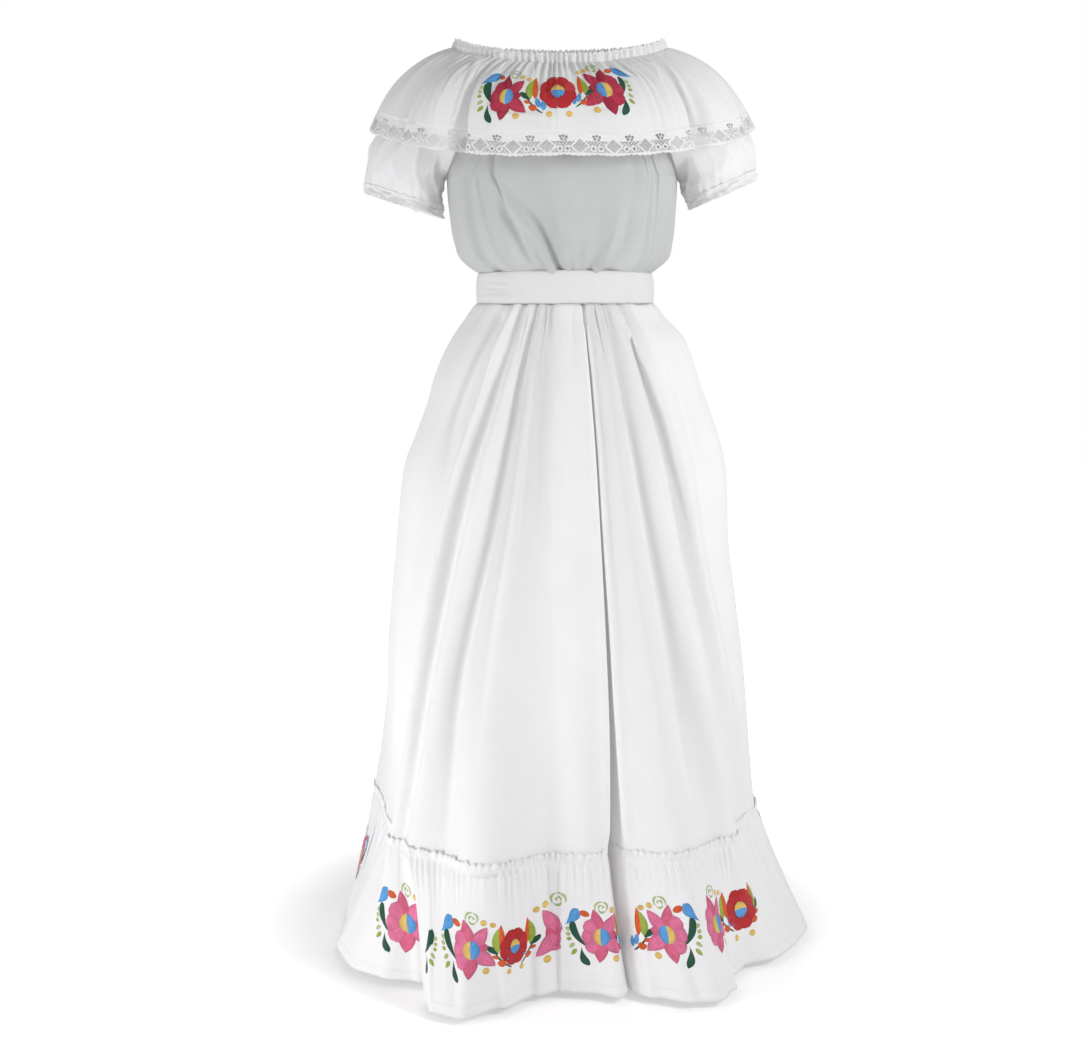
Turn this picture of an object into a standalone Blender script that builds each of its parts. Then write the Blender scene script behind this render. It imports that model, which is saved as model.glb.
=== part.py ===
"""Pollera dress: gathered off-shoulder blouse and pleated skirt with a ruffled hem.

Every cloth piece is a shell on rings round the wearer. A ring is a rounded
oval given by its half widths and depths, and a table of fold lines says how
far the cloth stands in or out of that oval. Angles run from the centre front,
positive towards +X. Lengths are metres unless a name says millimetres.
"""
import bpy
import numpy as np

WALL = 0.0012
LACE_WALL = 0.0011
MM = 0.001
SEAM_GAP = 0.00022

# Heights of the waistband, the ruffle seam and the hem.
BAND_BOTTOM = -0.0205
BAND_TOP = 0.0175
BAND_RISE = 0.0050
SKIRT_TOP = -0.0217
SKIRT_END = -0.7520
RUFFLE_SEAM = -0.7450
RUFFLE_HEAD = 0.0110
RUFFLE_HEM = -0.9120

# Skirt ovals: height, left half width, right half width, front depth, back depth.
SKIRT_OVALS = [
    (-0.7520, 0.280, 0.277, 0.262, 0.268),
    (-0.6650, 0.266, 0.266, 0.248, 0.256),
    (-0.5910, 0.258, 0.258, 0.236, 0.246),
    (-0.5170, 0.251, 0.250, 0.223, 0.234),
    (-0.4300, 0.241, 0.237, 0.208, 0.220),
    (-0.3430, 0.232, 0.226, 0.192, 0.204),
    (-0.2860, 0.227, 0.225, 0.181, 0.193),
    (-0.2430, 0.220, 0.222, 0.172, 0.183),
    (-0.2000, 0.204, 0.211, 0.161, 0.171),
    (-0.1580, 0.189, 0.196, 0.148, 0.158),
    (-0.1230, 0.180, 0.184, 0.137, 0.145),
    (-0.0900, 0.167, 0.173, 0.125, 0.130),
    (-0.0670, 0.154, 0.162, 0.116, 0.118),
    (-0.0450, 0.138, 0.140, 0.106, 0.107),
    (-0.0205, 0.1215, 0.1215, 0.0965, 0.0965),
]
SKIRT_ROWS = [0.0, 0.035, 0.08, 0.15, 0.25, 0.37, 0.50, 0.63, 0.76, 0.88, 1.0]
WAIST_POWER = 2.3
SEAM_POWER = 2.8

# Fold lines of the skirt: angle at waist, hip, knee and seam, then how far out
# in millimetres at the same four heights, then how sharp the line is.
SKIRT_STATIONS = [0.0, 0.33, 0.66, 1.0]
SKIRT_FRONT_FOLDS = [
    (-90.0, -90.0, -90.0, -90.0, 0, 0, -4, -16, 0.3),
    (-76.0, -78.0, -80.0, -80.0, 2, 5, 1, -24, 0.0),
    (-58.0, -62.0, -65.0, -66.0, 3, 4, 0, -26, 0.0),
    (-42.0, -50.5, -54.0, -57.0, -3, -11, -12, -24, 0.6),
    (-38.0, -46.0, -50.0, -52.0, 4, 7, 5, 4, 0.3),
    (-31.5, -40.3, -45.7, -47.6, -3, -9, -9, -4, 0.7),
    (-27.0, -34.0, -40.5, -41.5, 4, 8, 10, 12, 0.0),
    (-22.0, -26.5, -34.0, -34.5, -3, -6, -1, 13, 0.2),
    (-18.5, -20.7, -24.4, -20.0, 4, 10, 20, 49, 0.0),
    (-13.5, -11.5, -6.0, -5.0, -3, -9, -8, -6, 0.0),
    (-3.0, 2.0, 4.0, 5.0, 4, 6, 8, 0, 0.0),
    (11.8, 11.8, 12.6, 12.2, 3, 5, 2, -18, 1.0),
    (13.4, 13.3, 14.3, 15.2, -6, -24, -40, -60, 1.0),
    (15.0, 14.8, 16.0, 18.6, 3, 5, 5, -18, 1.0),
    (22.0, 22.0, 26.0, 30.0, 4, 8, 13, 7, 0.0),
    (29.5, 31.0, 36.0, 45.5, -3, -7, -9, -17, 0.0),
    (35.5, 37.0, 43.6, 53.0, 4, 8, 9, -6, 0.2),
    (41.0, 44.0, 50.0, 60.0, -4, -12, -9, -36, 0.6),
    (47.0, 49.0, 55.0, 67.0, 4, 5, 3, -28, 0.0),
    (60.0, 57.0, 62.0, 73.0, -2, -5, -6, -18, 0.0),
    (74.0, 72.0, 76.0, 81.0, 3, 5, 3, -4, 0.0),
    (90.0, 90.0, 90.0, 90.0, 0, 0, 0, 0, 0.3),
]
SKIRT_BACK_FOLDS = [
    (90.0, 90.0, 90.0, 90.0, 0, 0, 0, 0, 0.3),
    (101.0, 102.0, 103.0, 103.0, -3, -8, -12, -14, 0.0),
    (112.0, 113.0, 114.0, 115.0, 3, 7, 12, 16, 0.0),
    (123.0, 124.0, 126.0, 127.0, -3, -9, -13, -16, 0.0),
    (135.0, 136.0, 138.0, 139.0, 3, 8, 13, 17, 0.0),
    (146.0, 148.0, 150.0, 151.0, -3, -8, -14, -17, 0.0),
    (158.0, 160.0, 162.0, 163.0, 3, 9, 13, 18, 0.0),
    (171.0, 172.0, 175.0, 175.0, -3, -9, -14, -19, 0.0),
    (183.0, 184.0, 186.0, 187.0, 3, 8, 14, 18, 0.0),
    (195.0, 196.0, 198.0, 199.0, -3, -8, -13, -16, 0.0),
    (207.0, 208.0, 209.0, 211.0, 3, 9, 12, 17, 0.0),
    (219.0, 220.0, 221.0, 223.0, -3, -8, -13, -17, 0.0),
    (232.0, 232.0, 233.0, 235.0, 3, 8, 12, 13, 0.0),
    (243.0, 243.0, 243.0, 243.5, -3, -7, -6, -4, 0.0),
    (254.0, 253.0, 252.0, 251.0, 3, 6, 8, 9, 0.0),
    (270.0, 270.0, 270.0, 270.0, 0, 0, -4, -16, 0.3),
]
SKIRT_FRONT_STEP = 4.6
SKIRT_BACK_STEP = 7.0

# Hem of the ruffle: angle on the seam, angle on the hem, hem radius.
RUFFLE_FRONT_HEM = [
    (-90.0, -86.0, 0.3180), (-76.0, -79.0, 0.3220), (-64.0, -66.0, 0.3440),
    (-56.0, -55.0, 0.3520), (-51.0, -46.0, 0.3420), (-47.0, -38.5, 0.3200),
    (-43.5, -33.0, 0.3020), (-40.5, -29.5, 0.3680), (-36.0, -26.0, 0.3900),
    (-26.0, -20.0, 0.3940), (-17.6, -14.0, 0.3470), (-9.7, -8.0, 0.3020),
    (-3.0, -2.0, 0.2840), (5.0, 7.0, 0.2920), (11.5, 13.2, 0.3120),
    (13.6, 15.2, 0.2960), (15.2, 16.3, 0.2640), (17.0, 17.4, 0.3020),
    (20.0, 20.5, 0.3250), (28.0, 28.0, 0.3620), (33.0, 32.5, 0.3720),
    (38.0, 38.0, 0.3560), (44.0, 45.0, 0.3200), (50.0, 51.5, 0.3120),
    (58.0, 61.0, 0.3360), (68.0, 71.0, 0.3440), (80.0, 81.0, 0.3520),
    (90.0, 89.0, 0.3500),
]
RUFFLE_BACK_HEM = [
    (90.0, 89.0, 0.3500), (103.0, 103.0, 0.3280), (115.0, 116.0, 0.3560),
    (127.0, 128.0, 0.3300), (139.0, 140.0, 0.3600), (151.0, 152.0, 0.3340),
    (163.0, 164.0, 0.3640), (175.0, 176.0, 0.3360), (187.0, 188.0, 0.3640),
    (199.0, 200.0, 0.3360), (211.0, 212.0, 0.3600), (223.0, 224.0, 0.3340),
    (235.0, 236.0, 0.3560), (245.0, 246.0, 0.3300), (254.0, 256.0, 0.3260),
    (270.0, 274.0, 0.3180),
]
# Rows of the ruffle: share of the way down, then gather depth in millimetres.
RUFFLE_ROWS = [(-0.066, 3.4), (0.0, 0.8), (0.08, 4.2), (0.30, 2.6), (0.62, 0.9), (1.0, 0.0)]
DEEP_FOLD = 15.2
DEEP_FOLD_REACH = 4.0
RUFFLE_CLEAR = 0.0024
RUFFLE_FRONT_GATHER = 0.0116
RUFFLE_BACK_GATHER = 0.0200

# Bodice ovals: height, left, right, front depth, back depth.
BODICE_OVALS = [
    (-0.0040, 0.1185, 0.1185, 0.0925, 0.0925),
    (0.0180, 0.1180, 0.1180, 0.0920, 0.0920),
    (0.0245, 0.1280, 0.1270, 0.0990, 0.0970),
    (0.0370, 0.1430, 0.1400, 0.1080, 0.1020),
    (0.0620, 0.1540, 0.1480, 0.1140, 0.1060),
    (0.0990, 0.1600, 0.1520, 0.1170, 0.1080),
    (0.1330, 0.1630, 0.1540, 0.1180, 0.1090),
    (0.1670, 0.1630, 0.1540, 0.1170, 0.1090),
    (0.2200, 0.1590, 0.1500, 0.1140, 0.1070),
    (0.2700, 0.1520, 0.1390, 0.1090, 0.1030),
    (0.3300, 0.1465, 0.1305, 0.1030, 0.0980),
]
BODICE_POWER = 2.4
BODICE_ROWS = [-0.0040, 0.0180, 0.0245, 0.0370, 0.0620, 0.1000]
BODICE_TOP_ROWS = [0.0, 0.08, 0.26, 0.56, 0.80, 1.0]
CHEST = 0.1490
# Bodice folds: angle at waist and chest, millimetres out at both, sharpness.
BODICE_STATIONS = [0.0, 1.0]
BODICE_FRONT_FOLDS = [
    (-90.0, -90.0, 0, 0, 0.3),
    (-74.0, -76.0, -3, 0, 0.0),
    (-60.0, -66.0, 4, 1, 0.0),
    (-44.0, -56.0, -4, -3, 0.0),
    (-28.0, -48.0, 3, 1, 0.0),
    (-19.0, -44.0, -3, -3, 0.2),
    (-13.5, -40.0, 5, 4, 0.6),
    (-4.0, -28.0, -3, -3, 0.0),
    (6.0, -8.0, 4, 4, 0.0),
    (14.0, 12.0, -3, -2, 0.0),
    (24.0, 36.0, 5, 3, 0.5),
    (33.0, 42.0, -3, -3, 0.0),
    (45.0, 47.0, 4, 4, 0.7),
    (49.0, 49.7, -2, -2, 0.5),
    (53.0, 52.4, 4, 4, 0.7),
    (57.0, 56.0, -3, -3, 0.3),
    (62.0, 59.7, 4, 4, 0.7),
    (72.0, 70.0, -3, 0, 0.0),
    (81.0, 80.0, 2, 0, 0.0),
    (90.0, 90.0, 0, 0, 0.3),
]
BODICE_BACK_FOLDS = [
    (90.0, 90.0, 0, 0, 0.3),
    (104.0, 103.0, -3, 0, 0.0),
    (118.0, 117.0, 4, 1, 0.0),
    (133.0, 132.0, -4, -3, 0.0),
    (148.0, 147.0, 4, 3, 0.0),
    (164.0, 163.0, -4, -2, 0.0),
    (180.0, 180.0, 4, 3, 0.0),
    (196.0, 197.0, -4, -3, 0.0),
    (211.0, 212.0, 4, 2, 0.0),
    (227.0, 228.0, -3, -3, 0.0),
    (243.0, 243.0, 4, 1, 0.0),
    (257.0, 257.0, -3, 0, 0.0),
    (270.0, 270.0, 0, 0, 0.3),
]
BODICE_FRONT_STEP = 7.0
BODICE_BACK_STEP = 7.0

# Neckline oval with its height over the angle from the centre front.
NECK_CENTRE_X = -0.0080
NECK_WIDTH = 0.1400
NECK_FRONT = 0.1050
NECK_BACK = 0.1000
NECK_POWER = 2.5
NECK_HEIGHT = [
    (0, 0.3050), (30, 0.3080), (45, 0.3140), (60, 0.3220), (78, 0.3340),
    (95, 0.3390), (130, 0.3370), (180, 0.3350),
]
CASING_ROWS = [(0.0, 2.2), (-0.0050, 0.7), (-0.0150, 1.4)]
FLOUNCE_START = -0.0159
BODICE_END = -0.0125
NECK_INSIDE = 0.0020

# Flounce edge oval, with heights over the angle.
FLOUNCE_LEFT = 0.2560
FLOUNCE_RIGHT = 0.2480
FLOUNCE_FRONT = 0.1540
FLOUNCE_BACK = 0.1500
FLOUNCE_POWER = 2.1
FLOUNCE_HEIGHT = [
    (0, 0.1980), (30, 0.1980), (50, 0.2050), (70, 0.2200), (90, 0.2430),
    (110, 0.2320), (130, 0.2150), (180, 0.2050),
]
FLOUNCE_PUFF = 0.0150
FLOUNCE_ROWS = [(0.0, 2.0), (0.10, 2.6), (0.30, 1.4), (0.62, 0.3), (1.0, 0.0)]
# Flounce folds: angle at neck and edge, millimetres out at middle and edge, sharpness.
FLOUNCE_FRONT_FOLDS = [
    (-90.0, -90.0, 0, 0, 0.3),
    (-80.0, -79.0, 4, 4, 0.0),
    (-69.0, -72.0, -2, -1, 0.3),
    (-65.0, -69.5, -9, -13, 0.4),
    (-60.0, -66.0, 3, 2, 0.3),
    (-52.0, -58.0, 8, 6, 0.0),
    (-44.0, -51.5, 4, -3, 1.0),
    (-41.0, -49.0, -13, -26, 0.5),
    (-36.0, -43.5, 2, -2, 0.5),
    (-26.0, -32.0, 5, 3, 0.0),
    (-12.0, -14.0, 3, 3, 0.0),
    (0.0, 0.0, 5, 2, 0.0),
    (12.0, 14.0, 3, 4, 0.0),
    (26.0, 30.0, 5, 3, 0.0),
    (36.0, 41.0, 1, -2, 0.0),
    (43.0, 48.0, 5, 3, 0.0),
    (49.0, 54.0, 4, -2, 1.0),
    (53.0, 57.5, -11, -22, 0.5),
    (59.0, 63.0, 4, 2, 0.3),
    (70.0, 72.0, 8, 6, 0.0),
    (80.0, 81.0, 1, -3, 0.0),
    (90.0, 90.0, 0, 0, 0.3),
]
FLOUNCE_BACK_FOLDS = [
    (90.0, 90.0, 0, 0, 0.3),
    (104.0, 104.0, 5, 6, 0.0),
    (118.0, 118.0, -4, -6, 0.0),
    (134.0, 134.0, 6, 8, 0.0),
    (150.0, 150.0, -3, -5, 0.0),
    (166.0, 166.0, 6, 7, 0.0),
    (180.0, 180.0, -3, -4, 0.0),
    (195.0, 195.0, 6, 7, 0.0),
    (210.0, 210.0, -3, -5, 0.0),
    (226.0, 226.0, 6, 8, 0.0),
    (242.0, 242.0, -4, -6, 0.0),
    (256.0, 256.0, 5, 6, 0.0),
    (270.0, 270.0, 0, 0, 0.3),
]
FLOUNCE_STEP = 3.7

# Lace edging: repeat length, hole lines along a repeat and down the band.
LACE_REPEAT = 0.0430
LACE_DROP = 0.0290
LACE_START = 0.0007
LACE_ALONG = [0.0, 0.16, 0.29, 0.54, 0.67]
LACE_DOWN = [0.0, 0.18, 0.37, 1.0]
LACE_HOLES = [(1, 1), (1, 3)]
LACE_SCALLOP = 0.0030

# Sleeve sections: upper and lower points in the front plane, half depth, gathers.
SLEEVE_RIGHT = [
    (-0.1840, 0.2880, -0.1680, 0.1430, 0.078, 0.0),
    (-0.2310, 0.2440, -0.1690, 0.1350, 0.074, 0.0),
    (-0.2640, 0.1990, -0.1700, 0.1260, 0.069, 1.2),
    (-0.2740, 0.1660, -0.1705, 0.1170, 0.064, 2.4),
    (-0.2780, 0.1440, -0.1690, 0.1085, 0.056, 2.4),
]
SLEEVE_LEFT = [
    (0.1740, 0.2900, 0.1590, 0.1440, 0.078, 0.0),
    (0.2200, 0.2480, 0.1600, 0.1390, 0.074, 0.0),
    (0.2540, 0.2040, 0.1610, 0.1340, 0.069, 1.2),
    (0.2610, 0.1760, 0.1630, 0.1280, 0.063, 2.4),
    (0.2630, 0.1620, 0.1670, 0.1200, 0.053, 2.4),
]
# Cuff rows: upper and lower points, half depth, gathers.
CUFF_RIGHT = [
    (-0.2780, 0.1433, -0.1690, 0.1078, 0.0560, 1.6),
    (-0.2775, 0.1370, -0.1700, 0.1015, 0.0535, 0.2),
    (-0.2775, 0.1290, -0.1690, 0.0940, 0.0560, 1.6),
]
CUFF_LEFT = [
    (0.2630, 0.1613, 0.1670, 0.1193, 0.0530, 1.6),
    (0.2625, 0.1550, 0.1700, 0.1130, 0.0505, 0.2),
    (0.2640, 0.1460, 0.1740, 0.1060, 0.0530, 1.6),
]
ARMHOLE_MIDDLE = 0.2250
ARMHOLE_HALF = 0.0760
ARMHOLE_DEPTH = 0.0800
ARMHOLE_TOP_POWER = 4.0
ARMHOLE_LOW_POWER = 2.2
ARMHOLE_GAP = 0.0020
ARMHOLE_WIDEN = 1.04
ARMHOLE_LAP = 0.0017
CUFF_COLUMNS = 26

BAND_WIDTH = 0.1225
BAND_DEPTH = 0.0965
BAND_COLUMNS = 24
BAND_ROWS = [0.0, 0.5, 1.0]
BAND_BULGE = 0.0008

WHITE_COTTON = (0.90, 0.90, 0.89)
SHEER_COTTON = (0.80, 0.82, 0.81)
LACE_WHITE = (0.93, 0.93, 0.92)


def smooth(at, places, values):
    """Cubic curve through the values at the given places, along the last axis."""
    at = np.clip(np.asarray(at, float), places[0], places[-1])
    places = np.asarray(places, float)
    values = np.asarray(values, float)
    if len(places) == 2:
        slopes = np.repeat(np.diff(values, axis=-1) / np.diff(places), 2, axis=-1)
    else:
        slopes = np.gradient(values, places, axis=-1)
    index = np.clip(np.searchsorted(places, at, side="right") - 1, 0, len(places) - 2)
    width = places[index + 1] - places[index]
    t = (at - places[index]) / width
    start, end = values[..., index], values[..., index + 1]
    lean_in, lean_out = slopes[..., index] * width, slopes[..., index + 1] * width
    cubic = start * (2 * t**3 - 3 * t**2 + 1) + end * (3 * t**2 - 2 * t**3)
    return cubic + lean_in * (t**3 - 2 * t**2 + t) + lean_out * (t**3 - t**2)


def oval(angle, left, right, front, back, power):
    """Radius of a rounded oval at each angle from the centre front."""
    side = np.sin(np.radians(angle))
    face = np.cos(np.radians(angle))
    across = np.where(side < 0, left, right)
    along = np.where(face > 0, front, back)
    return (np.abs(side / across) ** power + np.abs(face / along) ** power) ** (-1 / power)


def around(angle, radius, height, centre_x=0.0):
    """Points at a radius from the centre line, for angles from the centre front."""
    turn = np.radians(angle)
    x = centre_x + radius * np.sin(turn)
    y = -radius * np.cos(turn)
    return np.stack(np.broadcast_arrays(x, y, height), axis=-1)


def table_oval(angle, height, rows, power):
    """Oval radius at each height, from a table of ovals."""
    table = np.array(rows)
    sizes = [smooth(height, table[:, 0], table[:, k]) for k in range(1, 5)]
    return oval(angle, *sizes, power)


def columns_between(lines, step):
    """Places along a table of fold lines, closer where the lines are close."""
    ends = np.array(lines)[:, :1].ravel()
    counts = [max(1, int(round(abs(gap) / step))) for gap in np.diff(ends)]
    pieces = [np.arange(count) / count + i for i, count in enumerate(counts)]
    return np.append(np.concatenate(pieces), float(len(ends) - 1))


def along_lines(values, places, sharp):
    """Value between fold lines: flat at soft lines, pointed at sharp ones."""
    index = np.clip(np.floor(places).astype(int), 0, values.shape[-1] - 2)
    t = places - index
    start, end = values[..., index], values[..., index + 1]
    rise = end - start
    lean_in, lean_out = rise * sharp[index], rise * sharp[index + 1]
    cubic = start + rise * (3 * t**2 - 2 * t**3)
    return cubic + lean_in * (t**3 - 2 * t**2 + t) + lean_out * (t**3 - t**2)


def fold_field(lines, stations, down, places):
    """Angle and depth of the cloth at each row and column of a fold table."""
    table = np.array(lines)
    count = len(stations)
    angles = smooth(down, stations, table[:, :count]).T
    depths = smooth(down, stations, table[:, count:2 * count]).T
    sharp = table[:, 2 * count]
    straight = np.ones(len(table))
    angle = along_lines(angles, places, straight)
    depth = along_lines(depths, places, sharp)
    return angle, depth * MM


def part_ends(points, gap):
    """Draw the first and last columns of a half ring back from the side seams."""
    side = np.sign(points[:, points.shape[1] // 2, 1]).mean()
    points[:, 0, 1] += np.sign(side) * gap
    points[:, -1, 1] += np.sign(side) * gap
    return points


def zigzag(count):
    """Zero on even columns and one on odd ones."""
    return (np.arange(count) % 2).astype(float)


def skirt_points(lines, step):
    """Rows from the waistband down to the end of the skirt cloth."""
    places = columns_between([(row[3],) for row in lines], step)
    down = np.array(SKIRT_ROWS)
    angle, depth = fold_field(lines, SKIRT_STATIONS, down, places)
    height = (SKIRT_TOP + (SKIRT_END - SKIRT_TOP) * down)[:, None] + 0 * angle
    power = WAIST_POWER + (SEAM_POWER - WAIST_POWER) * down[:, None]
    radius = table_oval(angle, height, SKIRT_OVALS, power) + depth
    return part_ends(around(angle, radius, height), SEAM_GAP), places


def offset_line(line, distance):
    """A plane line moved out along its own corners."""
    edges = np.diff(line, axis=0)
    normals = np.stack([edges[:, 1], -edges[:, 0]], axis=1)
    normals /= np.linalg.norm(normals, axis=1)[:, None]
    before = np.vstack([normals[:1], normals])
    after = np.vstack([normals, normals[-1:]])
    together = np.sum(before * after, axis=1)[:, None]
    return line + (before + after) / (1 + together) * np.asarray(distance)[:, None]


def ruffle_points(skirt, hem_lines, gather):
    """Rows from the frilled heading to the hem, gathered on the skirt's own corners."""
    seam = skirt[-1, :, :2]
    lengths = np.linalg.norm(np.diff(seam, axis=0), axis=1)
    counts = np.maximum(1, np.round(lengths / gather)).astype(int)
    steps = [i + np.arange(count) / count for i, count in enumerate(counts)]
    places = np.append(np.concatenate(steps), len(seam) - 1.0)
    whole = np.arange(len(seam))
    line = np.stack([np.interp(places, whole, seam[:, k]) for k in (0, 1)], axis=1)
    angle = np.degrees(np.unwrap(np.arctan2(line[:, 0], -line[:, 1])))
    table = np.array(hem_lines)
    if angle.mean() < 0 and table[:, 0].mean() > 90:
        angle = angle + 360
    sharp = np.zeros(len(table))
    place = np.interp(angle, table[:, 0], np.arange(len(table)))
    hem_angle = np.interp(angle, table[:, 0], table[:, 1])
    hem_radius = along_lines(table[:, 2], place, sharp)
    hem = part_ends(around(hem_angle, hem_radius, RUFFLE_HEM)[None], SEAM_GAP)[0, :, :2]
    full = np.clip(np.abs(angle - DEEP_FOLD) / DEEP_FOLD_REACH, 0, 1) ** 2
    rows = []
    for share, depth in RUFFLE_ROWS:
        away = RUFFLE_CLEAR + depth * MM * zigzag(len(places)) * full
        top = offset_line(line, away)
        top[[0, -1], 1] = line[[0, -1], 1]
        spread = np.clip(share, 0, 1) ** 1.15
        flat = top * (1 - spread) + hem * spread
        height = RUFFLE_SEAM + share * (RUFFLE_HEM - RUFFLE_SEAM)
        height = RUFFLE_SEAM + RUFFLE_HEAD if share < 0 else height
        rows.append(np.column_stack([flat, np.full(len(flat), height)]))
    return np.array(rows)


def armhole_depth(height):
    """Half depth of the armhole at a height, nothing above or below it."""
    away = (height - ARMHOLE_MIDDLE) / ARMHOLE_HALF
    power = np.where(away > 0, ARMHOLE_TOP_POWER, ARMHOLE_LOW_POWER)
    inside = np.clip(1 - np.abs(away) ** power, 0, 1)
    return ARMHOLE_DEPTH * inside ** (1 / power)


def neck_height(angle):
    """Height of the top of the neckline at an angle."""
    table = np.array(NECK_HEIGHT)
    away = np.abs((np.asarray(angle) + 180) % 360 - 180)
    return smooth(away, table[:, 0], table[:, 1])


def bodice_radius(angle, height):
    """Radius of the blouse body before its folds."""
    return table_oval(angle, height, BODICE_OVALS, BODICE_POWER)


def bodice_points(lines, step, back):
    """Rows from inside the waistband to the neckline, cut away at the armholes."""
    places = columns_between(lines, step)
    low = np.array(BODICE_ROWS)
    down = np.clip((low - BODICE_ROWS[0]) / (CHEST - BODICE_ROWS[0]), 0, 1)
    stations = BODICE_STATIONS
    angle_low, depth_low = fold_field(lines, stations, down, places)
    rise = BAND_RISE * np.cos(np.radians(angle_low)) * (1 - down[:, None])
    height_low = low[:, None] + rise
    radius_low = bodice_radius(angle_low, low[:, None] + 0 * rise)
    held = np.clip((low - BODICE_ROWS[1]) / (BODICE_ROWS[3] - BODICE_ROWS[1]), 0.12, 1)
    depth_low = depth_low * held[:, None]
    up = np.array(BODICE_TOP_ROWS)[:, None]
    chest_angle, chest_depth = fold_field(lines, stations, np.array([1.0]), places)
    middle = 180.0 if back else 0.0
    angle_top = chest_angle + 0 * up
    for _ in range(4):
        end = neck_height(angle_top[-1]) + BODICE_END
        height_top = CHEST + (end - CHEST) * up
        opening = armhole_depth(height_top) + ARMHOLE_GAP * (up > 0)
        half = np.degrees(np.arctan2(bodice_radius(90.0, height_top), opening))
        half = 90 - (90 - half) * ARMHOLE_WIDEN
        angle_top = middle + (chest_angle - middle) * half / 90
    inner = neck_radius(angle_top) - NECK_INSIDE
    radius_top = bodice_radius(angle_top, height_top) * (1 - up) + inner * up
    radius_top = radius_top + chest_depth * (1 - 0.9 * up)
    low_part = around(angle_low, radius_low + depth_low, height_low)
    top_part = around(angle_top, radius_top, height_top, NECK_CENTRE_X * up)
    return part_ends(np.vstack([low_part, top_part]), SEAM_GAP)


def neck_columns(lines):
    """Angles of the neckline gathers, shared by the casing and the flounce."""
    places = columns_between(lines, FLOUNCE_STEP)
    return places, np.interp(places, np.arange(len(lines)), np.array(lines)[:, 0])


def neck_radius(angle):
    """Radius of the neckline oval."""
    return oval(angle, NECK_WIDTH, NECK_WIDTH, NECK_FRONT, NECK_BACK, NECK_POWER)


def casing_points():
    """Closed rows of the gathered elastic casing at the neckline."""
    front = neck_columns(FLOUNCE_FRONT_FOLDS)[1]
    back = neck_columns(FLOUNCE_BACK_FOLDS)[1]
    angle = np.concatenate([front[:-1], back[:-1]])
    angle = angle[:len(angle) // 2 * 2]
    rows = []
    for lower, depth in CASING_ROWS:
        radius = neck_radius(angle) + depth * MM * zigzag(len(angle))
        rows.append(around(angle, radius, neck_height(angle) + lower, NECK_CENTRE_X))
    return np.array(rows)


def flounce_at(lines, places, share, gathers):
    """Flounce surface at places along its folds and shares of the way down."""
    table = np.array(lines)
    straight = np.ones(len(table))
    neck_angle = along_lines(table[:, 0], places, straight)
    edge_angle = along_lines(table[:, 1], places, straight)
    middle_out = along_lines(table[:, 2], places, table[:, 4]) * MM
    edge_out = along_lines(table[:, 3], places, table[:, 4]) * MM
    start_radius = neck_radius(neck_angle) + 0.0008
    start = around(neck_angle, start_radius, neck_height(neck_angle) + FLOUNCE_START, NECK_CENTRE_X)
    heights = np.array(FLOUNCE_HEIGHT)
    away = np.abs((edge_angle + 180) % 360 - 180)
    edge_z = smooth(away, heights[:, 0], heights[:, 1])
    sizes = (FLOUNCE_LEFT, FLOUNCE_RIGHT, FLOUNCE_FRONT, FLOUNCE_BACK)
    edge_radius = oval(edge_angle, *sizes, FLOUNCE_POWER)
    end = around(edge_angle, edge_radius, edge_z)
    turn = np.radians(edge_angle)
    out = np.stack([np.sin(turn), -np.cos(turn), 0 * turn], axis=-1)
    drop = end - start
    length = np.linalg.norm(drop, axis=-1, keepdims=True)
    lift = np.cross(np.cross(drop, out), drop)
    lift /= np.linalg.norm(lift, axis=-1, keepdims=True)
    share = np.asarray(share, float)[:, None, None]
    inside = np.clip(share, 0, 1)
    puff = 4 * inside * (1 - inside) * FLOUNCE_PUFF
    wave = middle_out[:, None] * 4 * inside * (1 - inside)
    wave = wave + edge_out[:, None] * inside * (2 * inside - 1)
    points = start + drop * inside + lift * puff + out * wave
    pleat = np.asarray(gathers, float)[:, None, None] * MM * zigzag(len(places))[:, None]
    points = points + out * pleat
    hang = (share - inside) * length
    low = drop / length - lift * 4 * FLOUNCE_PUFF / length
    low = low / np.linalg.norm(low, axis=-1, keepdims=True)
    return points + low * hang


def flounce_points(lines):
    """Rows of one half of the flounce."""
    places = neck_columns(lines)[0]
    share = [row[0] for row in FLOUNCE_ROWS]
    gathers = [row[1] for row in FLOUNCE_ROWS]
    return part_ends(flounce_at(lines, places, share, gathers), SEAM_GAP)


def lace_points(lines):
    """Lace band below one half of the flounce, on a count of whole repeats."""
    fine = np.linspace(0, len(lines) - 1, 801)
    edge = flounce_at(lines, fine, [1.0], [0.0])[0]
    run = np.append(0, np.cumsum(np.linalg.norm(np.diff(edge, axis=0), axis=1)))
    repeats = int(round(run[-1] / LACE_REPEAT))
    along = (np.arange(repeats)[:, None] + np.array(LACE_ALONG)).ravel()
    along = np.append(along, repeats) * run[-1] / repeats
    places = np.interp(along, run, fine)
    top = flounce_at(lines, places, [1.0], [0.0])[0]
    low = flounce_at(lines, places, [1.25], [0.0])[0]
    way = low - top
    way /= np.linalg.norm(way, axis=1)[:, None]
    tip = LACE_SCALLOP * np.abs(np.sin(np.pi * along / LACE_REPEAT))
    rows = []
    for share in LACE_DOWN:
        reach = LACE_START + share * LACE_DROP + tip * share**3
        rows.append(top + way * reach[:, None])
    holes = [(row, k + len(LACE_ALONG) * r) for row, k in LACE_HOLES for r in range(repeats)]
    return part_ends(np.array(rows), SEAM_GAP), set(holes)


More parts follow.
